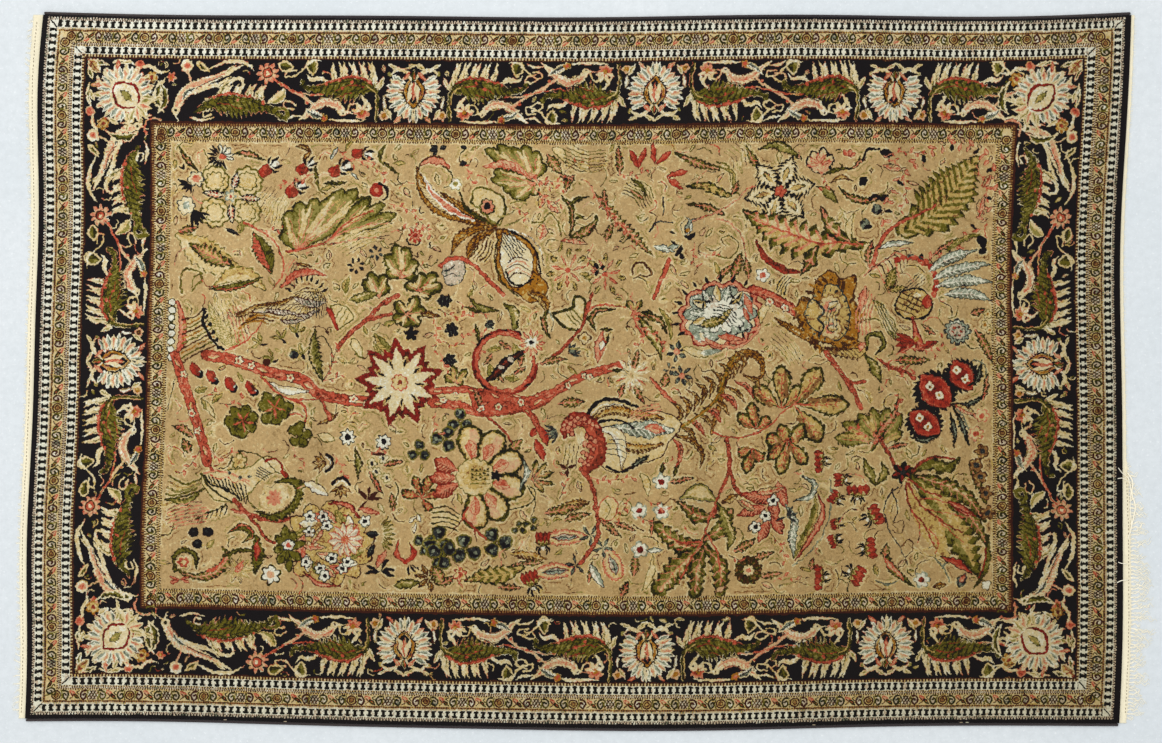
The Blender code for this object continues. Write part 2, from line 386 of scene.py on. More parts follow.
def guardToken(seat, kind, turn):
    # the small figures of a guard band, each drawn about its own middle
    if kind == "ring":
        for radius, name in ((5, "maroon"), (3.5, "straw"), (2.7, "maroon"), (1.7, "tan")):
            seat.disc(0, 0, radius, name)
    elif kind == "curl":
        way = 1 if turn % 4 < 2 else -1
        seat.disc(0.3 * way, -0.4, 3, "shell")
        route = [(-2.6, 4.4), (1.4, 3.6), (3.1, -0.2), (0.6, -4.2), (-2.6, -1.8), (-1.6, 1.4), (0.4, 0.2)]
        seat.stroke([(a * way, b) for a, b in route], 1.9, "moss" if turn % 3 else "maroon")
        seat.stroke((-4.6 * way, -4.4, -3.4 * way, 0, -4.4 * way, 4.4), 1.3, "olive")
    elif kind == "blossom":
        seat.leaf(-1.4, 1.4, 10, 4.6, -42, "rose")
        seat.leaf(2.2, -1.6, 9, 4.2, -42, "half")
        seat.stroke((-4.4, -3.6, -1.6, -1.2, -3.4, 1.8), 1.1, "brown")
        seat.stroke((4.6, 4.2, 2.4, 2.8, 4.4, 0.4), 1.1, "moss")
    else:
        seat.disc(0, 0, 4.7, "shell")
        for off in (-3.2, 0, 3.2):
            seat.stroke((off - 2.6, -4.2, off + 2.6, 4.2), 1.3, "brown")
            seat.stroke((off + 2.6, -4.2, off - 2.6, 4.2), 1, "moss")


def sideFrame(side, depth):
    # where a band at this depth lies on a side, whether it runs along x, and which way is in
    w, h = cartoon["squares"]
    wider = np.interp(depth, bands["stations"], bands["wider"][side])
    lie = depth + wider
    sides = {"far": (lie, True, 1), "near": (h - lie, True, -1)}
    sides.update(left=(lie, False, 1), right=(w - lie, False, -1))
    return sides[side]


# Main border. Each unit is charted in its own places: along the border from a palmette's
# axis, and across it from the band's middle towards the palmette's crown.
class Seat:
    def __init__(self, x, y, turn, mirror):
        self.x, self.y, self.turn, self.mirror = x, y, turn, mirror

    def at(self, along, across):
        a, b = np.radians(self.turn), np.radians(self.turn + 90 * self.mirror)
        x = self.x + along * np.cos(a) + across * np.cos(b)
        return x, self.y - along * np.sin(a) - across * np.sin(b)

    def route(self, points):
        return [self.at(*place) for place in np.reshape(points, (-1, 2))]

    def leaf(self, along, across, length, width, turn, look, bend=0, widest=0.45):
        x, y = self.at(along, across)
        leaf(x, y, length, width, self.turn + self.mirror * turn, look, bend, self.mirror, widest)

    def stroke(self, points, width, name, taper=0):
        stroke(self.route(points), width, name, taper)

    def rosette(self, along, across, radius, petals, rings, turn=0, squash=1):
        x, y = self.at(along, across)
        rosette(x, y, radius, petals, rings, self.turn + self.mirror * turn, squash)

    def ribbon(self, points, look, plus, minus=None):
        minus = minus or plus
        sides = (plus, minus) if self.mirror > 0 else (minus, plus)
        ribbon(self.route(points), look, *sides)

    def disc(self, along, across, radius, name):
        disc(*self.at(along, across), radius, name)

    def shape(self, points, name, rim=None, rimWidth=1):
        shape(self.route(points), name, rim, rimWidth)


def palmette(seat, tint="ivory", ring="ochre"):
    # narrow petals fanned from an oval ring towards its point, long rays inside, a small crown
    for k in range(10, -1, -1):
        angle = np.radians(8 + 12 * k)
        root = (8 * np.sin(angle), 12 * np.cos(angle))
        tip = (28 * np.sin(angle), 4 + 27 * np.cos(angle) - 4 * np.sin(angle))
        middle = ((tip[0] + root[0]) / 2, (tip[1] + root[1]) / 2)
        reach = (tip[0] - root[0], tip[1] - root[1])
        turn = np.degrees(np.arctan2(reach[1], reach[0]))
        look = "petalPink" if k % 2 else "petalWhite" if tint == "white" else "petalBlue"
        for sign in (1, -1):
            seat.leaf(sign * middle[0], middle[1], np.hypot(*reach) + 2 - 3 * (k % 2), 5.4,
                turn if sign > 0 else 180 - turn, look, 0, 0.62)
    seat.leaf(0, 22, 22, 4.4, 90, "petalAxis", 0, 0.4)
    seat.leaf(0, 0, 34, 23, 90, "navy", 0, 0.5)
    seat.leaf(0, 0, 31, 20, 90, ring, 0, 0.5)
    seat.leaf(0, 0, 26, 14.5, 90, "navy", 0, 0.5)
    for across, turn in ((-3.4, 100), (0, 90), (3.4, 80)):
        seat.leaf(across, 0, 21, 4.8, turn, "ivory" if across else "rose", 0, 0.5)
    seat.stroke((0, 3, 0, -7), 0.9, "coral")
    seat.leaf(0, -17, 11, 6, -90, "half", 0, 0.4)
    for sign in (1, -1):
        seat.ribbon((sign * 2, -12, sign * 9, -20, sign * 17, -22, sign * 24, -17), "vineCream",
            (1, 2.2, 2.6, 0.4))
        seat.leaf(sign * 8, -15, 12, 4.2, 90 - sign * 42, "rose")
        seat.leaf(sign * 5, -25, 13, 4.4, 90 - sign * 62, "vineLeaf")
        seat.leaf(sign * 21, -25, 12, 4, 90 + sign * 66, "vineLeaf")
        seat.leaf(sign * 24, 23, 13, 5, 90 + sign * 30, "vineLeaf")
        seat.leaf(sign * 15, 28, 10, 4, 90 - sign * 50, "rose")


addLook("petalPink", "pink blush ivory coral", comb=0)
addLook("petalWhite", "ivory shell ivory slate", 0, 1, comb=0)
addLook("petalBlue", "sky grey white slate", 0, 1.1, comb=0)
addLook("petalAxis", "navy navy ivory", 0, 1.6)
addLook("scroll", "olive olive moss moss", 0.42, 1, 6.6, comb=0.34)
addLook("flame", "cream ivory ivory olive", 0.25, 0.7, 5, comb=0.2)
addLook("vineCream", "cream ivory ivory olive", 0.3, 0.8, 5, comb=0.2)
addLook("vineLeaf", "sage cream ivory", 0.2, 0.9, 3)
addLook("spurRed", "rust coral rust", 0.5, 0.4)
starRings = [(1, "pink", 0.45), (0.72, "blush", 0.35), (0.5, "brown", 0), (0.36, "coral", 0),
    (0.16, "ivory", 0)]
smallRings = [(1, "pink", 0.35), (0.6, "coral", 0.2), (0.3, "ochre", 0)]


def flames(seat, places, base, tip, lean):
    # pointed cream leaves side by side along a bigger leaf's back, curling the way they lean
    for k, along in enumerate(places):
        sway = 1.6 * (-1) ** k
        seat.ribbon((along, base + 2, along + lean * 0.25 + sway, (base + tip) / 2, along + lean, tip),
            "flame", (3.2, 3.2, 0.3), (3.2, 2.688, 0.3))


def halfUnit(seat):
    # the curled leaf, bird and flowers from a palmette to the middle between two palmettes
    flames(seat, (38, 42, 46.5, 51, 56, 61, 66.5, 72, 78), -8, -30, 5)
    seat.ribbon((86, -8, 94, -13, 103, -12, 108, -17), "vineCream", (1.2, 2.6, 2.4, 0.4))
    seat.ribbon((37, 29, 35.5, 12, 38, -1, 48, -8, 64, -10, 82, -7, 98, -3, 109, -4, 112, -9), "scroll",
        (1.8, 1.8, 2.5, 16, 24, 22, 14, 5, 3.4), (1.8, 1.8, 2.2, 4, 4.5, 4, 3.4, 3.6, 3.4))
    seat.stroke((38.6, 28, 37.2, 12, 39.5, 0, 48, -6), 1.1, "straw")
    seat.ribbon((42, -8, 52, -13, 66, -14, 82, -10, 96, -5), "spurRed", (1.4, 1.8, 1.8, 1.6, 0.4),
        (1.4, 2.2, 2.4, 1.8, 0.4))
    seat.stroke((50, -4, 60, -6, 70, -4, 80, 0), 1.3, "rust", 0.5)
    seat.stroke((62, 2, 70, 4, 78, 8), 1.1, "rust", 0.5)
    for along, across in ((45, -10), (56, -15), (62, -9), (74, -11), (71, -3), (88, -7)):
        seat.disc(along, across, 1.7, "coral")
    seat.ribbon((52, 4, 48, 9, 44, 16, 46, 20), "vineCream", (0.8, 2, 1.6, 0.4))
    seat.rosette(51, 21, 8, 7, smallRings)
    for turn in (10, 60, 110, 160):
        seat.leaf(*onArc(51, 20, turn, 6), 9, 3.4, -turn, "ivory")
    seat.stroke((66, 22, 63, 14, 57, 13, 57, 18, 60, 19), 1.9, "cream")
    # the bird: breast and back as one tapering crescent, then wing, head and beak
    seat.ribbon((70, 20, 77, 13, 88, 11, 99, 16, 107, 24, 115, 30), "breast", (3.6, 5, 5, 4.6, 3.4, 0.6),
        (3, 4.4, 5, 4.6, 3.2, 0.6))
    seat.stroke((76, 10.5, 88, 6.6, 99, 11.5, 109, 21), 1.1, "maroon")
    seat.leaf(97, 22, 24, 8, -26, "wing", 2)
    seat.stroke((78, 18, 88, 16, 98, 20), 1, "maroon")
    seat.disc(70, 21, 3.6, "ivory")
    seat.stroke((68, 21, 59, 22), 2.4, "ivory", 0.8)
    seat.disc(69.5, 22, 0.9, "maroon")
    seat.ribbon((84, 29, 68, 30, 48, 29), "vineCream", (1, 2, 0.4))
    seat.rosette(89, 27, 4.2, 5, [(1, "ochre", 0.3), (0.5, "coral", 0)])
    seat.leaf(103, -25, 19, 14, 96, "bud")
    seat.ribbon((112, -22, 104, -30, 94, -30), "vineCream", (0.8, 1.8, 0.4))
    seat.stroke((121, 0, 113, 4, 106, 9, 101, 13), 2.6, "blush")
    seat.stroke((121, 0, 112, 2, 100, 4, 91, 3), 1.5, "coral")
    seat.disc(107, 11, 1.6, "coral")
    seat.leaf(33, -8, 15, 5, 65, "vineLeaf")
    seat.leaf(29, 12, 15, 4.2, 95, "ivoryEdged")
    seat.rosette(29, 24, 5, 5, [(1, "blush", 0.3), (0.55, "ochre", 0)])
    seat.disc(24, -17.5, 2.2, "sage")
    seat.stroke((112, -22, 119, -16, 128, -15, 127, -20, 119, -21), 1.7, "cream")
    seat.stroke((118, 14, 124, 10, 130, 12, 128, 17, 120, 18), 1.7, "cream")
    seat.ribbon((112, 26, 122, 26, 130, 30), "vineCream", (0.6, 1.8, 0.4))


addLook("wing", "grey white ivory slate", 0.2, 1, 3)
addLook("bud", "olive moss cream", 0.15, 1.7)


def longUnit(seat):
    # from the middle between palmettes to a corner: star flower, arching leaf, long-tailed bird
    seat.stroke((121, 0, 130, -6, 138, -10, 146, -18), 2.4, "coral")
    seat.rosette(147, -18, 11, 9, starRings)
    seat.leaf(137, 5, 22, 11, 40, "vineLeaf", 3)
    seat.leaf(129, -25, 17, 12, 170, "bud")
    flames(seat, (152, 157, 162, 168, 174, 180, 186, 191), 7, -7, -5)
    seat.ribbon((196, 8, 190, -4, 180, -12, 172, -11, 172, -4, 178, -4), "vineCream",
        (3, 3.6, 3, 2.2, 1.6, 0.5))
    seat.ribbon((218, 22, 206, 12, 190, 8, 172, 9, 154, 13, 138, 20, 130, 27, 126, 22), "scroll",
        (1.6, 3, 4, 4.6, 4.4, 3.6, 3.4, 2.4), (1.6, 10, 19, 21, 18, 10, 4.4, 2.4))
    seat.ribbon((208, 9, 192, 4, 174, 4, 156, 8), "spurRed", (0.6, 2, 2.2, 0.4), (0.6, 1.8, 1.8, 0.4))
    seat.stroke((196, 13, 184, 14, 172, 18), 1.2, "rust", 0.4)
    for along, across in ((200, 7), (186, 3), (176, 9), (164, 5), (150, 12)):
        seat.disc(along, across, 1.7, "coral")
    seat.ribbon((224, 27, 212, 30, 200, 27), "vineCream", (0.6, 2, 0.5))
    seat.stroke((128, 29, 126, 21, 134, 17, 140, 20), 4, "olive", 0.2)
    seat.stroke((204, 19, 210, 21, 209, 26, 203, 24), 1.8, "ivory")
    # the bird hangs head down from its long tail
    seat.ribbon((238, 22, 235, 12, 228, 2, 216, -6, 202, -12, 188, -18, 172, -26), "breast",
        (3.4, 5.6, 6.6, 5.4, 3.6, 2.6, 0.5), (3.4, 5, 6, 5, 3.6, 2.6, 0.5))
    seat.ribbon((222, 4, 210, -2, 196, -6, 184, -14), "vineCream", (0.8, 2.4, 2.2, 0.4))
    seat.stroke((231, 12, 222, 1, 208, -8, 192, -14), 1.1, "maroon")
    seat.leaf(224, 2, 20, 7, -140, "wing", 1)
    seat.disc(238, 20, 4, "ivory")
    seat.disc(238, 20, 1.6, "moss")
    seat.stroke((238, 23, 236, 31), 2.4, "ivory", 0.7)
    seat.ribbon((206, -22, 190, -29, 172, -29, 160, -22), "vineCream", (0.6, 2.2, 2.6, 0.4))
    seat.leaf(184, -22, 13, 4.4, -140, "vineLeaf")
    seat.rosette(228, -25, 6.4, 8, [(1, "ivory", 0.1), (0.55, "pink", 0), (0.3, "coral", 0)])
    seat.leaf(212, -24, 17, 7, 140, "bud")
    seat.stroke((228, -20, 224, -12, 222, -6), 1.6, "blush")
    seat.rosette(243, -13, 5, 6, smallRings)
    seat.ribbon((250, -12, 256, 0, 256, 12, 250, 22), "crescent", (0.5, 4, 4.6, 0.6))


addLook("breast", "blush ivory ivory pink", 0.2, 1.3)
addLook("crescent", "olive moss ivory", 0.3, 1.2, 5)


def cornerUnit(seat):
    # counted from the main band's outer corner along both sides; drawn once each way round
    seat.leaf(8, 8, 20, 12, 45, "corner", 0, 0.5)
    seat.leaf(16, 5, 15, 6, 20, "crescent")
    seat.ribbon((26, 4, 38, 3, 50, 6), "crescent", (1, 3.4, 0.6), (1, 2.6, 0.6))
    seat.disc(54, 6, 4.6, "pink")
    seat.disc(54, 5, 2.6, "coral")
    seat.ribbon((58, 8, 66, 8, 74, 13, 84, 12), "vineCream", (1.4, 2.4, 2, 0.4))
    seat.rosette(67, 19, 7, 6, [(1, "ochre", 0.35), (0.6, "straw", 0), (0.3, "rust", 0)])
    seat.ribbon((74, 22, 80, 32, 80, 44, 74, 54), "crescent", (0.6, 4, 4.6, 0.6))
    seat.leaf(64, 29, 14, 5, 60, "vineLeaf")
    seat.leaf(24, 14, 14, 5, 200, "petalPink")
    seat.leaf(60, 56, 16, 5, 10, "vineLeaf")
    seat.stroke((62, 62, 70, 60, 76, 62), 2, "pink")


def cornerHeart(seat):
    # the diagonal palmette, its point towards the rug's corner, and the leaves at its foot
    x, y = seat.at(41, 37)
    outX, outY = seat.at(0, -4)
    turn = np.degrees(np.arctan2(y - outY, outX - x))
    diagonal = Seat(x, y, turn - 90, 1)
    for k in range(7):
        for sign in (1, -1):
            diagonal.leaf(sign * 25 * np.sin(0.42 * k), 2 + 25 * np.cos(0.42 * k), 13, 6,
                90 - sign * 24 * k, "petalPink" if k % 2 else "vineLeaf")
    palmette(diagonal, "ivory", "crimson")
    for length, width, name in ((42, 33, "ivory"), (36, 28, "crimson"), (31, 22, "ivory"), (17, 9, "moss"),
            (13, 6, "sage")):
        diagonal.leaf(0, -1, length, width, 90, name, 0, 0.5)
    for turn, length in ((-90, 20), (-60, 17), (-120, 17), (-30, 15), (-150, 15)):
        c, s = np.cos(np.radians(turn)), np.sin(np.radians(turn))
        diagonal.leaf(12 * c, -14 + 10 * s, length, 6, turn, "vineLeaf" if turn % 4 else "petalPink")


addLook("corner", "straw honey ivory rust", 0.3, 1.2, 5)


def weaveGuards():
    # the figures in order along each side of both guard bands
    w, h = cartoon["squares"]
    for depth, inset in ((22.9, 18), (117.7, 113)):
        for side in ("far", "near", "left", "right"):
            lie, alongX, inwards = sideFrame(side, depth)
            place, stop = inset + 6, (w if alongX else h) - inset - 6
            for turn in range(200):
                kind = guardOrder[turn % len(guardOrder)]
                place += guardPitch[kind] / 2
                if place > stop:
                    break
                if alongX:
                    seat = Seat(place, lie, 0, -inwards)
                else:
                    seat = Seat(lie, place, -90, inwards)
                guardToken(seat, kind, turn)
                place += guardPitch[kind] / 2


def weaveMainBorder():
    # the palmettes' axes: both long sides' distance down, and both ends' distance across
    far, close, ends = 75.6, 634.5, ((79.6, 0, 350.5), (1013.5, 180, 350.5))
    corners = (Seat(46.5, 44, 0, -1), Seat(1046.5, 44, 180, 1), Seat(46.5, 667, 0, 1),
        Seat(1046.5, 667, 180, -1))
    swapped = (Seat(46.5, 44, -90, 1), Seat(1046.5, 44, -90, -1), Seat(46.5, 667, 90, -1),
        Seat(1046.5, 667, 90, 1))
    crownDown = ((376, far, -1), (618, far, 1), (858, far, -1), (376, close, 1), (618, close, -1),
        (857, close, 1))
    for x, y, crown in crownDown:
        for turn in (0, 180):
            halfUnit(Seat(x, y, turn, crown if turn == 0 else -crown))
            if x == 376 and turn == 180:
                longUnit(Seat(x, y, turn, -crown))
    for x, face, y in ends:
        for turn in (90, -90):
            mirror = -1 if (turn == 90) == (face == 0) else 1
            halfUnit(Seat(x, y, turn, mirror))
            longUnit(Seat(x, y, turn, mirror))
    for seat, other in zip(corners, swapped):
        for each in (seat, other):
            cornerUnit(each)
        cornerHeart(seat)
    for x, y, crown in crownDown:
        palmette(Seat(x, y, 0, crown), "blue" if (x > 800 and y > 400) else "ivory")
    for x, face, y in ends:
        palmette(Seat(x, y, -90 if face == 0 else 90, 1))


side, depth, along = weaveBands()
mainBand = (depth >= 43.9) & (depth < 107.2)
fieldArea = depth >= bands["field"]
kept = chart.copy()
weaveMainBorder()
chart[~mainBand] = kept[~mainBand]
weaveGuards()


# The field: a flowering tree with birds on a beige ground, put down motif by motif.
leafLooks["oak"].update(shade="olive", rim=1.9, teeth=0.2)
leafLooks["half"].update(comb=0.16)
addLook("dark", "sage straw moss pink olive", 0.35, 1.6, 5, bandWidth=2, comb=0.22)
addLook("lobed", "sage cream moss pink olive", 0.15, 1.5, 5, bandWidth=2, blunt=0.5)
addLook("grape", "sage cream moss pink olive", 0.25, 2.2, 5, bandWidth=2.4, blunt=0.55)
addLook("echoed", "cream straw olive", 0.2, 1, 7)
addLook("feather", "olive olive moss straw", 0.3, 1.3, 8.5, comb=0.5)
addLook("starNavy", "ivory ivory navy - cream", 0.35, 2.6, bandWidth=1, blunt=1.15)
addLook("starRed", "cream straw crimson", 0.25, 4.6)
addLook("plume", "ochre straw brown brown", 0.3, 1.2, 5, comb=0.35)
addLook("hatched", "cream shell maroon maroon", 0, 0.8, comb=0.3)
addLook("pale", "beige straw sage sage", 0.2, 0.7)
addLook("rusty", "beige blush brown coral", 0, 0.8)
addLook("skyPlume", "sky grey slate white", 0.2, 0.8, 5)
addLook("ivoryBlue", "ivory white slate", 0, 0.9)
addLook("goldPlume", "cream straw brown brown ochre", 0.25, 1.2, 4.2, bandWidth=3.4, comb=0.2)
addLook("fern", "cream cream moss pink olive", 0.6, 1.2, 6.4, bandWidth=2.2, comb=0.22)
addLook("darkPale", "cream sage moss sage olive", 0.25, 1.2, 5, bandWidth=1.4, comb=0.2)
addLook("starSmall", "cream blush navy pink", 0.2, 2, 3.6)
addLook("banded", "straw cream moss pink olive", 0.4, 2.2, 12, bandWidth=3.4, comb=0.28)
addLook("spiky", "sage cream moss - olive", 0.35, 1.6, 4.2, bandWidth=4)
addLook("mossy", "olive olive moss", 0.3, 1.5, 4.4, blunt=0.6)
addLook("darkHalf", "cream olive moss sage", 0.3, 1.6, 4.6, comb=0.3)
addLook("darkHeart", "rust maroon navy - maroon", 0.2, 1.8, 5, bandWidth=1)
addLook("feathered", "cream cream sage sage", 0.2, 0.8, 3.4, comb=0.3)
addLook("bluePetal", "grey slate slate", 0, 1)
addLook("petalIvory", "ivory straw slate", 0, 1)
addLook("redWide", "coral rust crimson pink coral", 0.1, 1.2, 6, bandWidth=1, comb=0.2)
addLook("blackFeather", "black black black grey", 0.4, 0.8, comb=0.1)
addLook("grapeSlim", "cream sage moss pink olive", 0.25, 1.5, 4.6, bandWidth=2)
addLook("plumeRed", "pink coral rust brown", 0.25, 1)
addLook("scaly", "rust coral crimson", 0.12, 1.6)
addLook("podHeart", "shell sky rust slate", 0, 0.9, 7, comb=0.12)
addLook("lobedWide", "cream sage moss pink olive", 0.35, 1.8, 9, bandWidth=4, comb=0.12)
addLook("beigeGround", "straw beige straw", 0, 0.8)
addLook("berrySlim", "madder coral maroon", 0, 0.9)
addLook("mossBrown", "brown moss moss", 0, 0.9, blunt=0.5)
addLook("lozenge", "coral pink rust", 0, 0.7)
addLook("lozengePale", "pink cream rust", 0, 0.8)
addLook("rust", "rust madder crimson", 0, 0.7)
addLook("maroon", "maroon maroon maroon")
addLook("violet", "slate navy navy", 0, 1)


def fingers(x, y, tips, width, look):
    # a lobed leaf: fingers from one base to each tip, outlined together, banded, then filled,
    # with a streak of shade and a vein down each
    own = leafLooks[look]
    rim, band = own["rim"] * cartoon["rims"], own["band"]
    layers = [(rim, "edge"), (-rim, "band" if band else "fill"), (-rim - 2 * own["bandWidth"], "fill")]
    tips = np.reshape(tips, (-1, 2))
    for grow, part in layers:
        leafLooks["lobePart"] = dict(own, fill=own[part], shade=own[part], edge=own[part], band=None,
            vein=None)
        for tipX, tipY in tips:
            length = np.hypot(tipX - x, tipY - y) + 0.01
            turn = np.degrees(np.arctan2(y - tipY, tipX - x))
            fat = max(width - rim + grow, 2)
            leaf((x + tipX) / 2, (y + tipY) / 2, length + grow, fat, turn, "lobePart", widest=0.68)
    for k, (tipX, tipY) in enumerate(tips):
        dx, dy = tipX - x, tipY - y
        off = width * 0.17 * (-1) ** k / (np.hypot(dx, dy) + 0.01)
        streak = [(x + dx * a - dy * off, y + dy * a + dx * off) for a in (0.3, 0.6, 0.84)]
        if own["shade"] != own["fill"]:
            stroke(streak, width * 0.24, own["shade"], 0.5)
        if own["vein"]:
            stroke([(x, y), (x + dx * 0.8, y + dy * 0.8)], 1.2, own["vein"], 0.5)


def petals(x, y, reach, width, turns, look, start=0, widest=0.55):
    # petals round a place, each from start to reach at its own turn
    for turn in turns:
        middle = (start + reach) / 2
        leaf(*onArc(x, y, turn, middle), reach - start, width, turn, look, widest=widest)


def ring(count, turn=0):
    return [turn + 360 * k / count for k in range(count)]


addLook("cup", "madder rust crimson", 0, 0.8)
addLook("trio", "slate navy olive - slate", 0, 1.3, bandWidth=0.8, blunt=0.45)
addLook("berry", "madder madder crimson - coral", 0, 1, bandWidth=1)
addLook("maple", "straw tan moss coral olive", 0.2, 2.2, 6, bandWidth=0.8)
addLook("brownGold", "ochre brown brown straw", 0.3, 1)
addLook("daisyRose", "ivory shell coral", 0, 0.8)
addLook("bigPetal", "cream blush moss - straw", 0.1, 3, 5, bandWidth=1.4, blunt=0.55)
addLook("redPetal", "rust coral crimson pink", 0, 1.2, 3.4, comb=0.4)
addLook("seedpod", "cream cream coral - pink", 0.15, 0.9, 3, bandWidth=1.6, blunt=0.6)
addLook("slateDark", "slate slate slate")
addLook("grand", "straw sage moss - olive", 0.4, 2.2, 11, bandWidth=5)
addLook("grandPale", "cream cream slate - sage", 0.1, 1, 8, bandWidth=2)
addLook("pinkLoop", "coral pink crimson", 0.2, 1, 3)


addLook("tulip", "coral madder crimson", 0, 0.7)


def limb(points, width, flowers=()):
    # a tree limb: coral between dark edges, lozenges down its middle, and small white flowers
    line = stroke(points, width, "rust")
    stroke(points, width - 1.8, "coral")
    every = int(width * 4.2)
    for k in range(every // 2, len(line) - 4, every):
        dx, dy = line[k + 3] - line[k - 3]
        turn = np.degrees(np.arctan2(-dy, dx)) + 8 * (-1) ** (k // every)
        leaf(*line[k], width * 1.3, width * 0.52, turn, "lozenge" if (k // every) % 3 else "lozengePale")
    for x, y in flowers:
        rosette(x, y, width * 0.42, 5, ((1, "maroon", 0.35), (0.8, "ivory", 0.4), (0.3, "coral", 0)))


def spray(points, reach, look, gap=9, stem="coral", width=1.3):
    # leaves set alternately along a stem
    line = stroke(points, width, stem, 0.4)
    steps = np.hypot(*np.diff(line, axis=0).T)
    run = np.concatenate([[0], np.cumsum(steps)])
    for k, place in enumerate(np.arange(gap, run[-1], gap)):
        j = int(np.searchsorted(run, place))
        j = min(max(j, 1), len(line) - 2)
        dx, dy = line[j + 1] - line[j - 1]
        turn = np.degrees(np.arctan2(-dy, dx)) + (52 if k % 2 else -52)
        size = reach * (0.8 + 0.4 * ((k * 0.618) % 1))
        leaf(*onArc(*line[j], turn, size * 0.5), size, size * 0.45, turn, look)


def hatch(x, y, length, width, turn, count, name, bend=0, thick=0.9):
    # short parallel lines side by side
    c, s = np.cos(np.radians(turn)), np.sin(np.radians(turn))
    for k in range(count):
        off = width * ((k + 0.5) / count - 0.5)
        px, py = x - s * off, y - c * off
        half = length / 2 * (1 - 0.25 * abs(2 * (k + 0.5) / count - 1))
        bow = bend * np.array((-s, -c))
        stroke([(px - c * half, py + s * half), (px + bow[0], py + bow[1]), (px + c * half, py - s * half)],
            thick, name)


def bloom(radius, count, outer, inner, heart, *places):
    # small flowers of one kind: a dark scalloped edge, petals inside it and a heart
    for x, y in places:
        rosette(x, y, radius, count, ((1, outer, 0.35), (0.8, inner, 0.4), (0.34, heart, 0)), 7 * x)


def trios(size, *places):
    # three round violet petals in olive edges, each with a gloss
    for x, y, turn in places:
        petals(x, y, size, size * 0.95, ring(3, turn), "trio", 0.5, 0.6)
        for a in ring(3, turn):
            disc(*onArc(x, y, a, 0.62 * size), size * 0.12, "grey")


def burr(x, y, size, width, turn):
    # a red fruit: scalloped lobes along its far side, an olive cap, and navy claws below it
    c, s = np.cos(np.radians(turn)), -np.sin(np.radians(turn))
    claws(x - c * size * 0.3, y - s * size * 0.3, size * 0.62, turn + 180, 120, 4, "navy", -2)
    disc(x - c * size * 0.46, y - s * size * 0.46, size * 0.1, "white")
    leaf(x - c * size * 0.12, y - s * size * 0.12, width, size * 0.55, turn + 90, "moss")
    for k in (-1.5, -0.5, 0.5, 1.5):
        px, py = x + s * k * width * 0.24, y - c * k * width * 0.24
        leaf(px + c * size * 0.12, py + s * size * 0.12, size * 0.7, width * 0.3, turn, "cup", widest=0.6)


def maple(x, y, tips, width):
    # a pointed lobed leaf: beige inside a thick moss edge, pink veins with side veins
    fingers(x, y, tips, width, "maple")
    for tipX, tipY in np.reshape(tips, (-1, 2)):
        for a in (0.35, 0.55, 0.72):
            px, py = x + (tipX - x) * a, y + (tipY - y) * a
            turn = np.arctan2(y - tipY, tipX - x)
            for side in (0.7, -0.7):
                stroke((px, py, px + 4.5 * np.cos(turn + side), py - 4.5 * np.sin(turn + side)), 0.9,
                    "coral")


def clove(x, y, size, turn):
    # a square madder cup with curved navy fingers standing out of it towards the turn
    c, s = np.cos(np.radians(turn)), -np.sin(np.radians(turn))
    disc(x + c * size * 1.2, y + s * size * 1.2, size * 0.5, "white")
    for swing, far, bow in ((-58, 0.9, -4), (-20, 1.3, -2), (18, 1.35, 2), (54, 1.1, 4)):
        a = np.radians(turn + swing)
        cx = x + c * size * 0.7 + np.cos(a) * far * size * 0.5
        cy = y + s * size * 0.7 - np.sin(a) * far * size * 0.5
        leaf(cx, cy, size * far, 1.4 + size * 0.2, turn + swing, "navy", bend=bow * size / 12, widest=0.6)
    leaf(x, y, size * 1.5, size * 1.35, turn + 45, "cup")


def pinks(*routes):
    # thin pink stems with small leaves
    for route in routes:
        spray(route, 6, "rose", 6, "pink", 1.1)


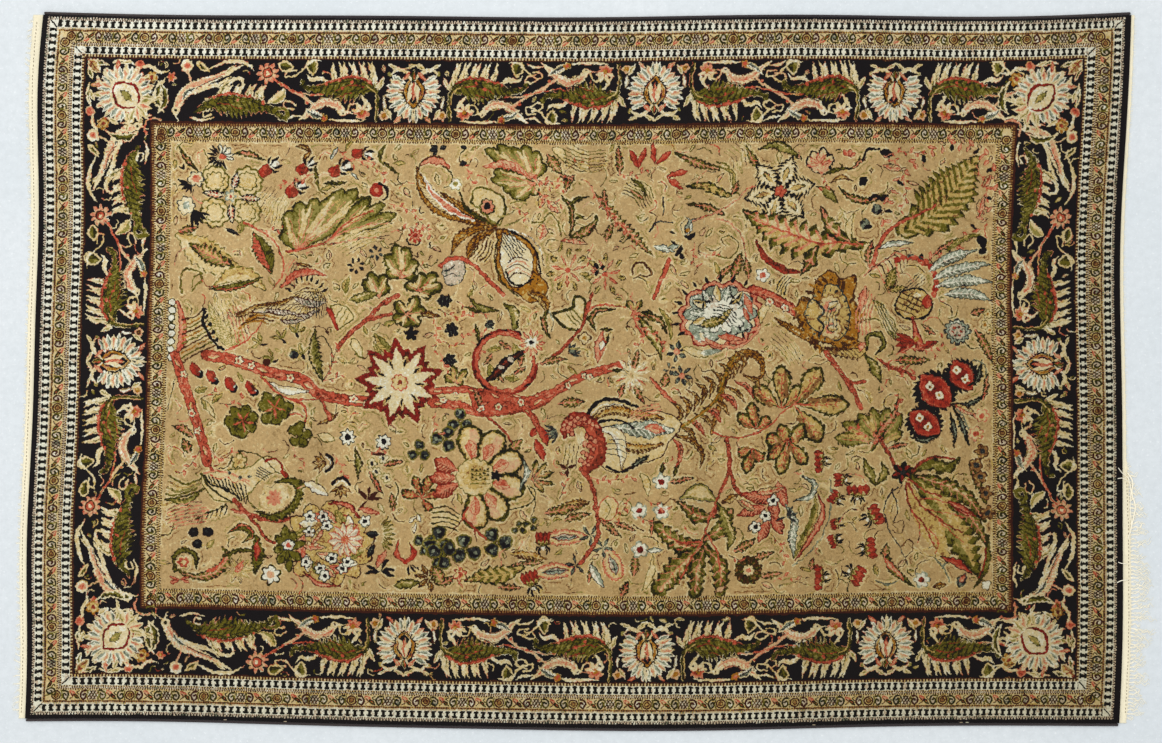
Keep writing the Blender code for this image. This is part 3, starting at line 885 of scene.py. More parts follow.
def farLeftField():
    ribbon((141, 131, 147, 144, 161, 158), "dark", (1, 5, 0.5), (1, 3, 0.5))
    ribbon((194, 140, 210, 139, 228, 146), "dark", (1, 5, 0.5))
    petals(184, 142, 13, 4.4, (-15, 12, 40, 68, 96), "ivoryBlue", 2)
    petals(184, 142, 15, 3, (128, 148, 168, 188, 208, 228, 248, 268, 288), "navy", 3)
    disc(185, 142, 3.2, "coral")
    for place in ((228, 156, 10, 32), (265, 154, 9, 34), (298, 156, 10, 22), (321, 138, 9, -4),
            (254, 177, 10, 30)):
        clove(*place)
    disc(340, 175, 7, "madder")
    rosette(340, 175, 7, 6, ((1, "crimson", 0.3), (0.8, "madder", 0.3), (0.3, "pink", 0)))
    lines(3, "navy", (343, 168, 350, 172, 351, 181, 347, 184))
    pinks((296, 128, 304, 138, 318, 150), (278, 158, 262, 166, 240, 172), (323, 150, 338, 152, 352, 166),
        (352, 188, 372, 194, 386, 206, 397, 222), (356, 216, 376, 212, 392, 212), (318, 146, 340, 146))
    leaves("slate", (297, 138, 15, 5, 62), (318, 161, 13, 4, -48))
    leaves("gold", (266, 135, 20, 7, -24, 3), (270, 140, 12, 5, 40), (268, 251, 22, 5, -4))
    leaves("dark", (281, 160, 20, 5, 98, 2), (299, 168, 26, 5.5, 4), (347, 138, 20, 6, 72, 3),
        (355, 152, 22, 5, -38, -1), (151, 216, 22, 10, 8))
    lines(2.2, "olive", (279, 166, 284, 176, 290, 180), (343, 144, 348, 150))
    for cx, cy in ((177, 167), (210, 167), (177, 199), (209, 198)):
        rosette(cx, cy, 16, 9, ((1, "olive", 0.12), (0.88, "cream", 0.14), (0.66, "olive", 0.2),
            (0.56, "cream", 0.2)), cx)
    leaves("eye", (176, 180, 24, 9, 172), (213, 184, 24, 8, -8), (198, 166, 20, 8, 76),
        (194, 200, 21, 8, -86))
    rosette(193, 182, 7, 5, ((1, "sky", 0.5), (0.62, "ivory", 0.4), (0.25, "coral", 0)))
    rosette(158, 165, 9, 6, ((1, "slate", 0.3), (0.86, "ivory", 0.35), (0.5, "pink", 0.2)))
    petals(152, 168, 13, 3, (175, 200, 225, 250, 275), "navy", 1)
    petals(146, 157, 7, 3, (90, 140), "violet", 0)
    rosette(148, 192, 10, 7, ((1, "slate", 0.25), (0.86, "ivory", 0.25), (0.4, "sky", 0.2)))
    petals(153, 196, 20, 3.6, (-18, -34, -50, -66, -84), "navy", 1)
    leaves("violet", (196, 218, 17, 5, -28))
    leaves("sprig", (204, 213, 13, 8, 70), (291, 173, 14, 6, 15))
    lines(2.2, "coral", (207, 209, 222, 216, 236, 226, 245, 240, 248, 258, 238, 276))
    pinks((222, 216, 244, 216, 250, 210), (246, 258, 256, 266, 262, 272))
    ribbon((206, 256, 190, 252, 170, 242, 141, 222), "echoed", (3, 15, 17, 4))
    ribbon((196, 252, 184, 247, 168, 240, 152, 231), "dark", (2, 10, 9, 0.5), (2, 9, 11, 0.5))
    ribbon((236, 260, 230, 244, 223, 230, 216, 217), "half", (1, 10, 10, 0.5), (1, 11, 8, 0.5))
    ribbon((230, 276, 212, 262, 196, 262, 178, 274), "echoed", (2, 9, 9, 0.5))
    ribbon((226, 264, 214, 270, 196, 275, 174, 276), "half", (1, 3, 4, 0.5), (1, 5, 4, 0.5))
    lines(2.2, "olive", (146, 280, 145, 262, 152, 256, 166, 260, 158, 264, 157, 274),
        (164, 260, 166, 268, 156, 278))
    fingers(262, 237, (247, 214, 251, 197, 263, 187, 280, 184, 293, 185, 307, 175, 321, 174, 334, 182), 21,
        "lobed")
    fingers(296, 222, (332, 184, 348, 188, 360, 199), 15, "lobed")
    hatch(328, 222, 60, 26, 22, 7, "sage", 3, 0.8)
    lines(2.4, "coral", (250, 238, 274, 233, 291, 226, 308, 211, 320, 202, 336, 196))
    lines(1.5, "pink", (291, 226, 306, 219, 330, 210, 356, 208), (280, 231, 304, 228, 332, 222, 352, 224))
    hatch(256, 253, 14, 12, 60, 4, "pink")
    ribbon((246, 274, 262, 262, 278, 259, 292, 262), "coral", (2, 7, 6, 0.5), (1, 3, 3, 0.5))
    for k in range(9):
        turn = 150 - 15 * k
        cx, cy = onArc(272, 288, turn, 21, 24)
        leaf(cx, cy, 8, 2.4, turn, "violet")
    hatch(272, 284, 30, 16, 10, 5, "brown", 3)
    petals(321, 251, 9, 3.4, ring(7, 20), "violet", 3)
    petals(341, 238, 8, 3.2, ring(6, 40), "slateDark", 2)
    for x, y, turn in ((377, 186, 90), (384, 192, 0), (395, 227, 0), (383, 236, 200)):
        lines(1.5, "navy", (x, y, x, y + 5, x + 5 * np.cos(np.radians(turn)), y + 5))
    rosette(380, 220, 8, 8, ((1, "madder", 0.5), (0.6, "pink", 0.5), (0.3, "crimson", 0)))
    lines(1.6, "navy", (372, 224, 375, 229, 382, 229, 385, 224))
    fingers(368, 262, (352, 256, 351, 240, 360, 229, 372, 232, 382, 246, 380, 258), 17, "grape")
    fingers(344, 282, (330, 266, 336, 258, 350, 260, 354, 270), 15, "grape")
    fingers(384, 276, (372, 268, 388, 258, 402, 258, 408, 270, 398, 280), 15, "grape")
    leaves("sprig", (313, 270, 18, 9, 80, 2))
    hatch(226, 190, 40, 24, 60, 6, "sage", 2, 0.6)
    hatch(244, 196, 34, 14, 75, 4, "sage", 2, 0.6)


def farMiddleField():
    petals(402, 133, 9, 5, (150, 190, 230, 20), "violet", 1)
    leaves("violet", (427, 147, 9, 6, 30), (428, 131, 7, 5, -20))
    ribbon((383, 150, 392, 143, 404, 144, 412, 150), "coral", (1, 3, 4, 2), (1, 5, 6, 2))
    lines(1.6, "moss", (382, 160, 384, 148, 394, 141, 406, 142), (408, 150, 416, 158, 414, 168, 408, 172))
    rosette(420, 168, 7, 6, ((1, "sage", 0.3), (0.85, "white", 0.3), (0.4, "sage", 0)))
    # the far bird: a gold tail that opens to the left, then wings, body and beak
    ribbon((380, 152, 386, 176, 404, 194, 430, 202, 460, 209), "goldPlume", (2, 13, 16, 11, 3),
        (1, 5, 7, 6, 3))
    ribbon((388, 160, 396, 178, 414, 194, 438, 203), "pinkWhite", (1, 5, 6, 2), (1, 2, 2, 2))
    ribbon((405, 176, 424, 190, 444, 202, 460, 208), "goldPlume", (1, 5, 5, 2), (1, 4, 4, 2))
    ribbon((424, 178, 432, 192, 446, 202, 458, 208), "dark", (1, 2, 3, 1), (1, 3, 3, 1))
    ribbon((458, 211, 440, 214, 424, 224, 417, 238), "goldPlume", (2, 4, 5, 1), (2, 6, 8, 1))
    ribbon((458, 214, 444, 222, 436, 234, 434, 244), "goldPlume", (2, 4, 5, 1), (2, 5, 6, 1))
    hatch(446, 232, 26, 22, 66, 6, "brown", -3, 1.4)
    shape((461, 212, 474, 214, 492, 222, 502, 236, 505, 254, 516, 272, 500, 286, 484, 276, 468, 266,
        462, 250, 464, 232), "ochre", "brown", 1.6)
    shape((468, 216, 482, 221, 496, 234, 500, 252, 494, 266, 480, 270, 470, 258, 466, 238), "ivory",
        "maroon", 1.2)
    hatch(478, 229, 30, 18, -54, 7, "slate", 0, 1.1)
    lines(1.4, "maroon", (474, 246, 484, 240, 494, 244), (472, 254, 484, 247, 498, 254),
        (474, 262, 484, 256, 498, 260))
    lines(1.4, "pink", (473, 250, 484, 244, 496, 249), (474, 258, 484, 252, 498, 258))
    lines(2.6, "navy", (472, 256, 478, 266, 490, 268, 500, 262), (476, 214, 492, 222, 503, 236, 508, 256))
    lines(1.4, "white", (474, 212, 494, 219, 506, 232, 511, 248))
    lines(1.8, "moss", (464, 222, 461, 244, 470, 266, 486, 280))
    # its tree: lobed leaves, sprays and tulips
    fingers(500, 162, (450, 132, 462, 128, 476, 130, 488, 128, 500, 134, 508, 146), 15, "lobed")
    ribbon((496, 162, 482, 154, 466, 150, 448, 150), "rose", (1, 4, 4, 1), (1, 8, 8, 1))
    leaves("dark", (519, 147, 26, 15, -52), (584, 142, 32, 10, 94), (546, 200, 10, 5, 10))
    leaves("outline", (523, 138, 22, 9, -50, 3))
    pinks((452, 148, 470, 152, 498, 162, 528, 164), (498, 162, 516, 170, 530, 172),
        (530, 154, 546, 142, 556, 148), (436, 142, 432, 154, 438, 168))
    fingers(500, 166, (458, 155, 456, 163, 468, 172, 476, 180, 484, 182, 498, 178), 15, "lobed")
    leaves("dark", (536, 166, 22, 10, 60, 3), (532, 160, 18, 7, -20))
    shape((436, 186, 438, 174, 448, 171, 458, 174, 468, 182, 469, 194, 463, 208), "cream", "olive", 2)
    rosette(452, 190, 9, 8, ((1, "moss", 0.25), (0.8, "pink", 0.3), (0.4, "navy", 0)))
    lines(2.6, "moss", (424, 176, 430, 190, 444, 200), (468, 180, 470, 194, 462, 208))
    lines(1.6, "sage", (464, 200, 480, 194, 492, 184), (470, 210, 486, 202, 496, 192),
        (476, 186, 486, 184, 492, 188))
    leaves("rusty", (507, 184, 16, 8, 70), (519, 190, 18, 10, -40), (508, 214, 20, 12, 80),
        (541, 226, 28, 8, -6, 3))
    lines(1.8, "olive", (498, 206, 508, 204, 516, 196, 524, 206, 528, 220))
    pinks((478, 190, 488, 196, 492, 206), (500, 172, 516, 184, 530, 188))
    ribbon((527, 180, 536, 190, 538, 206, 536, 218), "dark", (2, 4, 4, 2), (1, 3, 3, 1))
    ribbon((538, 220, 552, 214, 562, 204, 562, 198), "lobed", (2, 6, 5, 1), (2, 6, 4, 1))
    ribbon((536, 186, 546, 181, 554, 180), "dark", (2, 3, 1))
    lines(1.4, "olive", (542, 196, 550, 202, 560, 196), (542, 206, 552, 209, 562, 205))
    hatch(550, 140, 46, 24, -8, 7, "olive", -4, 1.1)
    hatch(556, 146, 30, 16, -8, 3, "straw", -3, 1.6)
    for x, y, turn, spread in ((603, 146, 92, 20), (622, 142, 66, 30), (638, 161, -12, 26)):
        petals(*onArc(x, y, turn, -6), 22, 7, (turn - spread, turn + spread), "tulip", 0)
    ribbon((560, 176, 578, 196, 592, 212, 606, 226, 622, 240), "fern", (1, 7, 8, 8, 0.5), (1, 6, 8, 5, 0.5))
    leaves("dark", (572, 181, 20, 8, 98, 2), (576, 215, 22, 10, 72), (604, 172, 28, 6, -52, 4),
        (603, 178, 20, 7, -38))
    hatch(604, 178, 34, 22, -44, 7, "olive", 4, 1)
    pinks((556, 172, 574, 196, 592, 212), (582, 158, 600, 158, 614, 152), (560, 228, 555, 240, 562, 256))
    for x, y, r in ((535, 253, 18), (573, 257, 17)):
        petals(x, y, r, 3.4, ring(7, 12), "rose", 3)
        petals(x, y, r + 5, 7, ring(7, 38), "moss", r * 0.66)
        disc(x, y, 3, "coral")
    petals(566, 252, 8, 4, (30, 120, 250), "navy", 0)
    lines(1.5, "navy", (560, 250, 566, 254))
    lines(2.6, "brown", (600, 258, 602, 248, 610, 246, 620, 256, 614, 260, 608, 258, 602, 262))
    lines(2.2, "slate", (617, 214, 624, 205, 640, 206), (630, 180, 630, 190, 631, 200))
    leaves("blue", (652, 210, 22, 7, 90, -6), (660, 210, 20, 6, 60, 5), (632, 232, 22, 9, -14),
        (641, 230, 14, 6, 10))
    leaves("navy", (640, 216, 8, 4, -20), (660, 220, 10, 6, 60), (656, 222, 10, 5, 150),
        (647, 234, 12, 6, 60), (641, 226, 9, 3, -30), (650, 240, 8, 4, -40))
    hatch(655, 210, 18, 12, 80, 3, "slate", 3, 0.9)
    disc(655, 214, 2.4, "ochre")
    pinks((662, 226, 662, 246, 668, 252), (668, 236, 680, 240, 690, 236))
    lines(5.4, "rust", (637, 244, 630, 262, 622, 282))
    lines(3.4, "coral", (637, 244, 630, 262, 622, 282))
    shape((408, 256, 411, 246, 420, 240, 430, 246, 431, 258, 424, 268, 413, 268), "shell", "slate", 1)
    lines(1.5, "slate", (409, 254, 416, 254, 420, 248), (410, 260, 418, 258, 424, 260))
    stroke((406, 250, 418, 242, 436, 246, 452, 260, 470, 278), 4.6, "rust")
    stroke((406, 250, 418, 242, 436, 246, 452, 260, 470, 278), 3, "coral")


def farRightField():
    ribbon((712, 132, 718, 144, 730, 156), "dark", (2, 6, 1), (1, 5, 1))
    ribbon((724, 134, 744, 130, 768, 144), "darkPale", (1, 6, 1), (1, 7, 1))
    hatch(704, 140, 26, 26, -60, 6, "sage", 4, 0.8)
    ribbon((640, 136, 660, 146, 684, 152), "dark", (1, 6, 3))
    ribbon((652, 170, 672, 170, 694, 180), "feather", (1, 6, 5), (1, 7, 4))
    ribbon((654, 188, 672, 190, 690, 198), "dark", (1, 5, 3), (1, 6, 3))
    ribbon((686, 150, 700, 158, 700, 170, 706, 180), "sprig", (1, 2, 2, 1))
    petals(747, 176, 38, 25, ring(6, 12), "starNavy", 2, 0.5)
    petals(747, 176, 27, 7, ring(6, 12), "olive", 10)
    petals(747, 176, 24, 4, ring(6, 12), "straw", 9)
    rosette(747, 176, 6.4, 5, ((1, "rust", 0.3), (0.8, "coral", 0.3)))
    fingers(788, 160, (778, 136, 790, 132, 798, 140, 797, 152, 780, 150, 774, 142), 13, "starSmall")
    petals(786, 150, 13, 4, (60, 100, 140, 180, 20), "rose", 1)
    petals(815, 142, 9, 6, (30, 75, 120), "coral", 0)
    lines(2, "olive", (806, 148, 812, 154, 822, 150, 826, 140))
    leaves("dark", (827, 148, 20, 7, 40, 2), (806, 158, 34, 6, 12, 4))
    lines(3.4, "navy", (829, 144, 834, 134, 846, 134))
    leaves("navy", (853, 138, 14, 9, -20), (831, 166, 12, 9, 50))
    ribbon((797, 168, 808, 162, 820, 166), "gold", (1, 3, 1))
    ribbon((806, 172, 818, 182, 834, 186, 852, 180), "dark", (1, 5, 5, 2), (1, 4, 4, 2))
    lines(4.2, "navy", (838, 184, 844, 180, 850, 184, 855, 180))
    ribbon((784, 172, 796, 176, 806, 188), "darkPale", (1, 5, 1), (1, 8, 1))
    pinks((850, 140, 866, 150, 874, 166), (870, 160, 874, 178, 870, 196), (788, 160, 794, 170, 786, 178))
    for x, y, turn in ((845, 194, 30), (834, 209, 200)):
        disc(x, y, 5.6, "slate")
        disc(x + 1, y - 1, 3, "grey")
        leaf(x + 3, y + 3, 10, 4, turn, "navy")
    # the banded leaf and, beyond it, the great feather leaf with its ring of buds
    ribbon((842, 232, 812, 228, 786, 228, 752, 216, 712, 196), "banded", (3, 12, 24, 22, 3),
        (3, 10, 20, 16, 3))
    ribbon((820, 228, 800, 214, 790, 194), "banded", (3, 9, 3), (3, 12, 3))
    ribbon((786, 232, 780, 246, 770, 260), "banded", (3, 9, 1))
    ribbon((724, 226, 734, 244, 752, 256, 768, 258), "rust", (2, 4, 6, 2), (1, 2, 2, 1))
    lines(2.4, "coral", (842, 232, 812, 228, 786, 228, 752, 216, 720, 204))
    lines(1.4, "olive", (842, 238, 826, 228, 820, 214, 812, 200), (716, 200, 724, 210, 740, 210))
    ribbon((878, 214, 900, 200, 920, 178, 944, 142), "feather", (14, 34, 30, 4), (10, 28, 26, 4))
    for k in range(30):
        turn = np.radians(52 + (k - 14.5) * 10.4)
        along, across = 62 * np.cos(turn - 0.9), 44 * np.sin(turn - 0.9)
        cx, cy = 908 + along * 0.62 - across * 0.78, 186 - along * 0.78 - across * 0.62
        leaf(cx, cy, 9, 4, np.degrees(turn), "navy" if k % 3 == 0 else "rose")
        leaf(cx + 5 * np.cos(turn), cy - 6 * np.sin(turn), 9, 4, np.degrees(turn) + 60,
            "rusty" if k % 2 else "rose")
    stroke((842, 252, 848, 232, 862, 212, 882, 202, 904, 190), 5, "rust", 0.5)
    stroke((842, 252, 848, 232, 862, 212, 882, 202, 904, 190), 3.2, "coral", 0.5)
    pinks((852, 140, 872, 136, 892, 138), (944, 150, 956, 176, 950, 200))
    leaves("rusty", (952, 190, 22, 9, 80, 2), (956, 165, 16, 7, 60), (860, 152, 22, 8, -10))
    leaves("slate", (866, 231, 36, 7, 10, 3))
    leaves("outline", (838, 236, 22, 9, 70, 3), (822, 212, 30, 8, 86, 4))
    leaves("dark", (841, 238, 30, 8, 80, 3), (924, 232, 50, 8, 24, 5))
    for k in range(9):
        lines(1.6, "maroon" if k % 2 else "pink", (834 + 4.4 * k, 262 - 3.6 * k,
            846 + 4.2 * k, 252 - 2.2 * k, 860 + 2.6 * k, 280 - 4.5 * k))
    for k in range(12):
        turn = np.radians(118 - 13 * k)
        disc(880 + 27 * np.cos(turn), 268 - 26 * np.sin(turn), 3.2, "coral" if k % 2 else "madder")
    lines(2.6, "slate", (878, 241, 884, 240), (890, 242, 894, 246))
    hatch(886, 268, 22, 14, 40, 5, "slate", 0, 0.8)
    leaves("moss", (862, 264, 26, 14, 70), (868, 274, 22, 9, 10))
    for row in ((924, 246, 56, 24), (934, 257, 62, 14), (936, 270, 60, 4), (940, 283, 50, -8)):
        leaf(row[0], row[1], row[2], 13, row[3], "skyPlume", bend=4)
    leaves("navy", (951, 228, 18, 10, -60, 3), (954, 236, 10, 7, 30))
    leaves("sprig", (934, 228, 40, 7, 26, 4))
    lines(1.9, "pink", (684, 203, 700, 209, 712, 226, 716, 246), (660, 205, 684, 196, 702, 186, 714, 174,
        722, 172))
    lines(1.5, "olive", (684, 240, 700, 242, 708, 230, 698, 220, 690, 224, 694, 230),
        (682, 146, 694, 150, 697, 166))
    leaves("dark", (702, 172, 16, 10, 70), (706, 250, 30, 13, 70), (716, 252, 24, 9, 100),
        (694, 256, 24, 9, 40))
    rosette(732, 260, 8, 5, ((1, "slate", 0.4), (0.85, "white", 0.4), (0.4, "coral", 0)))
    hatch(754, 270, 20, 12, 60, 4, "slate", 2, 1.2)


def trunkField():
    for k in range(8):
        disc(136.5, 290 + 8 * k, 4.2, "moss")
        disc(136.5, 290 + 8 * k, 3.1, "white")
    ribbon((142, 289, 147, 306, 147, 326, 142, 346), "coral", (1, 5, 6, 2), (2, 5, 4, 2))
    for k in range(10):
        route = (148, 308 + 4.8 * k, 160, 305 + 4.2 * k, 168 + 1.5 * k, 297 + 4 * k)
        stroke(route, 1.7, ("brown", "ochre", "olive")[k % 3])
    ribbon((174, 290, 176, 312, 196, 334, 208, 322), "feathered", (2, 16, 18, 4), (1, 2, 2, 1))
    hatch(190, 308, 44, 30, -72, 8, "sage", 2, 0.7)
    hatch(204, 312, 40, 18, -70, 5, "pink", 2, 1.3)
    lines(3.2, "navy", (170, 296, 168, 308, 173, 320, 180, 331, 190, 337))
    for k in range(6):
        leaf(168 + 3.6 * k, 297 + 7.6 * k, 6, 4, 100 - 14 * k, "navy")
    lines(2, "coral", (192, 338, 212, 328, 224, 314, 230, 304))
    for k in range(7):
        lines(2.6, ("ochre", "brown")[k % 2], (204 + 4 * k, 316 - 4 * k, 222 + 2 * k, 308 - 3 * k,
            234 + 5 * k, 311 - 3 * k))
    ribbon((204, 302, 220, 294, 244, 290, 262, 282), "gold", (2, 3, 4, 1), (4, 7, 4, 1))
    ribbon((220, 298, 244, 296, 268, 300, 282, 296), "hatched", (2, 4, 9, 3), (2, 4, 8, 3))
    leaves("hatched", (276, 286, 36, 16, -10), (258, 306, 26, 10, 4))
    hatch(284, 290, 30, 14, -80, 6, "slate", 2, 0.9)
    shape((296, 292, 306, 290, 316, 296, 320, 303, 312, 310, 304, 314, 300, 302), "cream", "olive", 1.4)
    hatch(309, 301, 14, 14, 60, 3, "olive", 0, 1)
    lines(5.8, "crimson", (294, 296, 299, 304, 303, 315))
    lines(4, "madder", (294, 297, 299, 304, 302, 314))
    limb((305, 333, 318, 318, 334, 304, 348, 290, 364, 280), 5)
    limb((334, 306, 346, 302, 358, 299), 4)
    fingers(374, 300, (362, 288, 360, 306, 372, 312, 386, 310, 392, 294, 384, 282), 15, "grape")
    leaves("gold", (397, 299, 22, 8, -8), (296, 405, 26, 6, 30, -2))
    leaves("darkPale", (330, 282, 30, 12, 16))
    lines(1.6, "olive", (340, 322, 350, 326, 354, 338), (318, 330, 328, 332, 330, 340),
        (322, 340, 332, 344, 336, 336))
    leaves("sprig", (350, 330, 30, 12, 130), (344, 336, 20, 8, 110))
    petals(378, 319, 8, 5, ring(5, 90), "navy", 0)
    limb((141, 344, 148, 366, 156, 388, 162, 406, 171, 432, 176, 452), 10.5,
        ((150, 363), (159, 402), (166, 420)))
    limb((172, 343, 196, 347, 222, 355, 248, 362, 268, 366, 286, 380, 312, 386, 336, 388, 356, 392), 11.5,
        ((205, 348), (218, 353), (257, 365), (320, 385), (334, 389)))
    lines(2.6, "coral", (228, 364, 244, 380, 262, 387, 286, 386), (262, 388, 272, 394, 273, 408, 268, 418),
        (256, 402, 264, 400, 270, 404))
    ribbon((236, 370, 252, 376, 276, 378), "ivoryEdged", (1, 4, 1), (1, 6, 1))
    limb((284, 378, 292, 394, 298, 406), 4)
    leaves("gold", (300, 402, 10, 4, 130))
    lines(1.2, "navy", (303, 400, 304, 392), (134, 400, 141, 368), (216, 378, 222, 372))
    for x, y in ((161, 357), (177, 364), (196, 371), (217, 375)):
        disc(x + 4, y + 5, 4.6, "navy")
        leaf(x, y, 16, 10, 118, "cup")
        disc(x + 5, y + 3, 1.2, "sky")
    pinks((186, 392, 202, 392, 212, 384), (170, 386, 182, 380, 190, 384))
    leaves("sprig", (168, 378, 14, 8, 20), (184, 386, 16, 6, 40), (172, 394, 18, 6, -60))
    leaves("outline", (177, 398, 22, 6, -60), (294, 424, 18, 10, 160), (324, 334, 22, 10, -60))
    fingers(210, 412, (192, 408, 199, 396, 214, 393, 225, 402, 224, 416, 210, 426, 198, 422), 15, "mossy")
    fingers(241, 400, (226, 390, 232, 380, 248, 383, 260, 392, 256, 402, 246, 412, 230, 410), 15, "mossy")
    for x, y in ((211, 409), (242, 395)):
        petals(x, y, 11, 2.4, ring(5, 60), "rose", 0)
    fingers(268, 424, (258, 414, 268, 408, 280, 420, 274, 434, 260, 432), 13, "mossy")
    leaves("dark", (150, 421, 26, 11, 150, -3))
    bloom(9, 8, "slate", "white", "navy", (316, 424), (352, 428))
    ribbon((290, 368, 282, 352, 279, 334, 281, 314), "darkHalf", (1, 5, 5, 0.5), (1, 9, 10, 0.5))
    lines(1.6, "moss", (290, 368, 299, 350, 297, 334, 288, 322, 282, 326))
    pinks((291, 368, 302, 364, 312, 360), (292, 366, 300, 350, 304, 332))
    for x, y, turn in ((228, 330, 160), (248, 326, 120), (262, 320, 80), (268, 342, 100), (240, 346, 170)):
        petals(x, y, 12, 4, (turn, turn + 50, turn - 50), "sprig", 0)
        leaf(x + 2, y + 2, 8, 3, turn - 150, "navy")
    dots(4.4, "slate", (260, 342))
    dots(4, "maroon", (233, 349))
    # the star flower: pointed crimson rays, serrated, over ivory
    for count, turn in ((9, 16), (9, 36)):
        petals(367, 368, 46 if turn == 16 else 36, 21, ring(count, turn), "starRed", 6, 0.4)
    petals(367, 368, 36, 10, ring(9, 16), "ivory", 4, 0.4)
    rosette(367, 368, 22, 9, ((1, "ivory", 0.3),), 16)
    petals(367, 368, 25, 2.6, ring(9, 36), "violet", 15)
    rosette(367, 368, 9, 9, ((1, "coral", 0.2), (0.86, "cream", 0.25), (0.3, "rust", 0)))


def middleField():
    for x, y, turn in ((411, 285, 0), (419, 314, 20), (417, 345, 50), (457, 308, 0)):
        small = 5 if x == 457 else 8
        petals(x, y, small, 5, ring(6, turn), "navy", 0)
        hatch(x, y, small * 1.6, small * 1.6, 90 + turn, 4, "slate", 0, 0.6)
    pinks((406, 294, 418, 300, 432, 300, 442, 290), (410, 326, 424, 330, 436, 318, 452, 316),
        (424, 286, 440, 296, 456, 298), (408, 338, 414, 354, 430, 356), (400, 300, 404, 320, 402, 338),
        (440, 326, 448, 334, 446, 346))
    fingers(424, 368, (412, 360, 420, 350, 434, 354, 430, 366), 11, "dark")
    ribbon((436, 282, 448, 292, 466, 294), "darkPale", (1, 5, 1))
    ribbon((472, 288, 482, 296, 482, 310, 486, 304), "darkPale", (2, 6, 6, 1), (2, 7, 5, 1))
    leaves("dark", (445, 318, 22, 6, -82), (440, 294, 20, 5, -20))
    ribbon((498, 276, 512, 284, 514, 296), "gold", (3, 7, 2), (3, 8, 2))
    ribbon((514, 294, 511, 306, 518, 322), "dark", (2, 5, 1), (2, 4, 1))
    lines(1.4, "sky", (516, 294, 521, 304, 520, 314))
    shape((520, 296, 530, 294, 541, 290, 542, 280, 552, 282, 553, 298, 548, 312, 534, 310, 524, 302),
        "cream", "moss", 3)
    hatch(542, 300, 18, 12, -50, 3, "olive", 0, 1.4)
    limb((560, 276, 556, 290, 552, 306, 544, 318, 528, 334, 510, 347), 3.6)
    lines(2.6, "coral", (556, 294, 566, 288, 580, 288, 594, 291), (600, 288, 604, 304, 612, 320),
        (612, 300, 602, 296))
    # the ring-shaped wreath round a dark slanting flower
    for k in range(26):
        turn = 66 + 11.4 * k
        dark = k in (0, 1, 2, 5, 6, 7, 14, 15, 22)
        leaf(*onArc(473, 346, turn, 32), 10, 3.6, turn + 75, "navy" if dark else "crimson")
    arc = np.radians(np.linspace(60, 370, 22))
    wreath = np.column_stack([473 + 29 * np.cos(arc), 346 - 29 * np.sin(arc)])
    stroke(wreath, 4.4, "rust")
    stroke(wreath, 3, "coral")
    for k in range(9):
        turn = 40 * k + 12
        leaf(*onArc(473, 346, turn, 17), 15, 8, turn + 60, "sprig" if k % 2 else "dark")
    ribbon((456, 364, 466, 356, 474, 346, 490, 336), "darkHeart", (3, 6, 5, 3))
    dots(3.6, "navy", (469, 351), (478, 343))
    dots(2.6, "shell", (469, 351), (478, 343))
    leaves("pinkLoop", (481, 316, 16, 4, -24))
    petals(500, 326, 14, 3.4, ring(11, 0), "rose", 3)
    bloom(7, 7, "ivory", "white", "navy", (500, 326))
    bloom(7, 4, "brown", "cream", "ochre", (553, 321))
    claws(537, 338, 14, 40, 110, 5, "slateDark")
    lines(1.2, "sage", (538, 332, 554, 332, 556, 340), (532, 346, 548, 348, 556, 344))
    leaves("dark", (522, 345, 28, 10, 10, 2), (634, 363, 16, 12, 80))
    ribbon((564, 314, 560, 302, 568, 294, 584, 292), "dark", (1, 5, 4, 1), (1, 3, 2, 1))
    leaves("dark", (575, 312, 14, 5, 0), (576, 322, 18, 4, 70))
    ribbon((572, 314, 568, 330, 566, 346), "coral", (1, 7, 1))
    leaves("ivoryEdged", (570, 328, 12, 6, 80))
    limb((400, 376, 425, 374, 448, 376, 470, 380, 492, 384), 8, ((423, 379),))
    limb((400, 388, 425, 390, 445, 396, 470, 395, 498, 390), 10, ((411, 385), (447, 392), (466, 390)))
    lines(2.6, "cream", (416, 381, 430, 382, 440, 382))
    shape((436, 378, 462, 376, 486, 382, 500, 380, 514, 374, 520, 382, 504, 392, 470, 398, 446, 398),
        "coral", "rust", 1.2)
    leaves("dark", (446, 384, 24, 8, -70), (508, 383, 30, 6, 14))
    for k in range(6):
        leaf(452 + 11 * k, 384 + 4 * (-1) ** k, 12, 4, 20 * (-1) ** k, "lozengePale" if k % 2 else "lozenge")
    bloom(4.6, 5, "maroon", "ivory", "coral", (449, 393), (466, 391), (489, 386), (506, 386))
    limb((500, 388, 516, 380, 534, 368, 552, 359, 572, 353, 590, 348), 9.5,
        ((536, 369), (553, 359), (558, 360)))
    limb((450, 398, 464, 408, 476, 420, 486, 440), 2.6)
    limb((492, 392, 502, 402, 509, 416), 6)
    ribbon((620, 362, 632, 376, 644, 388), "coral", (2, 3, 2))
    petals(600, 358, 21, 3.6, ring(12, 8), "frond", 3)
    petals(600, 358, 19, 1.6, ring(6, 24), "rose", 6)
    leaves("dark", (605, 342, 22, 9, 80), (590, 374, 16, 8, 70), (608, 378, 22, 9, -60),
        (586, 354, 12, 5, 0))
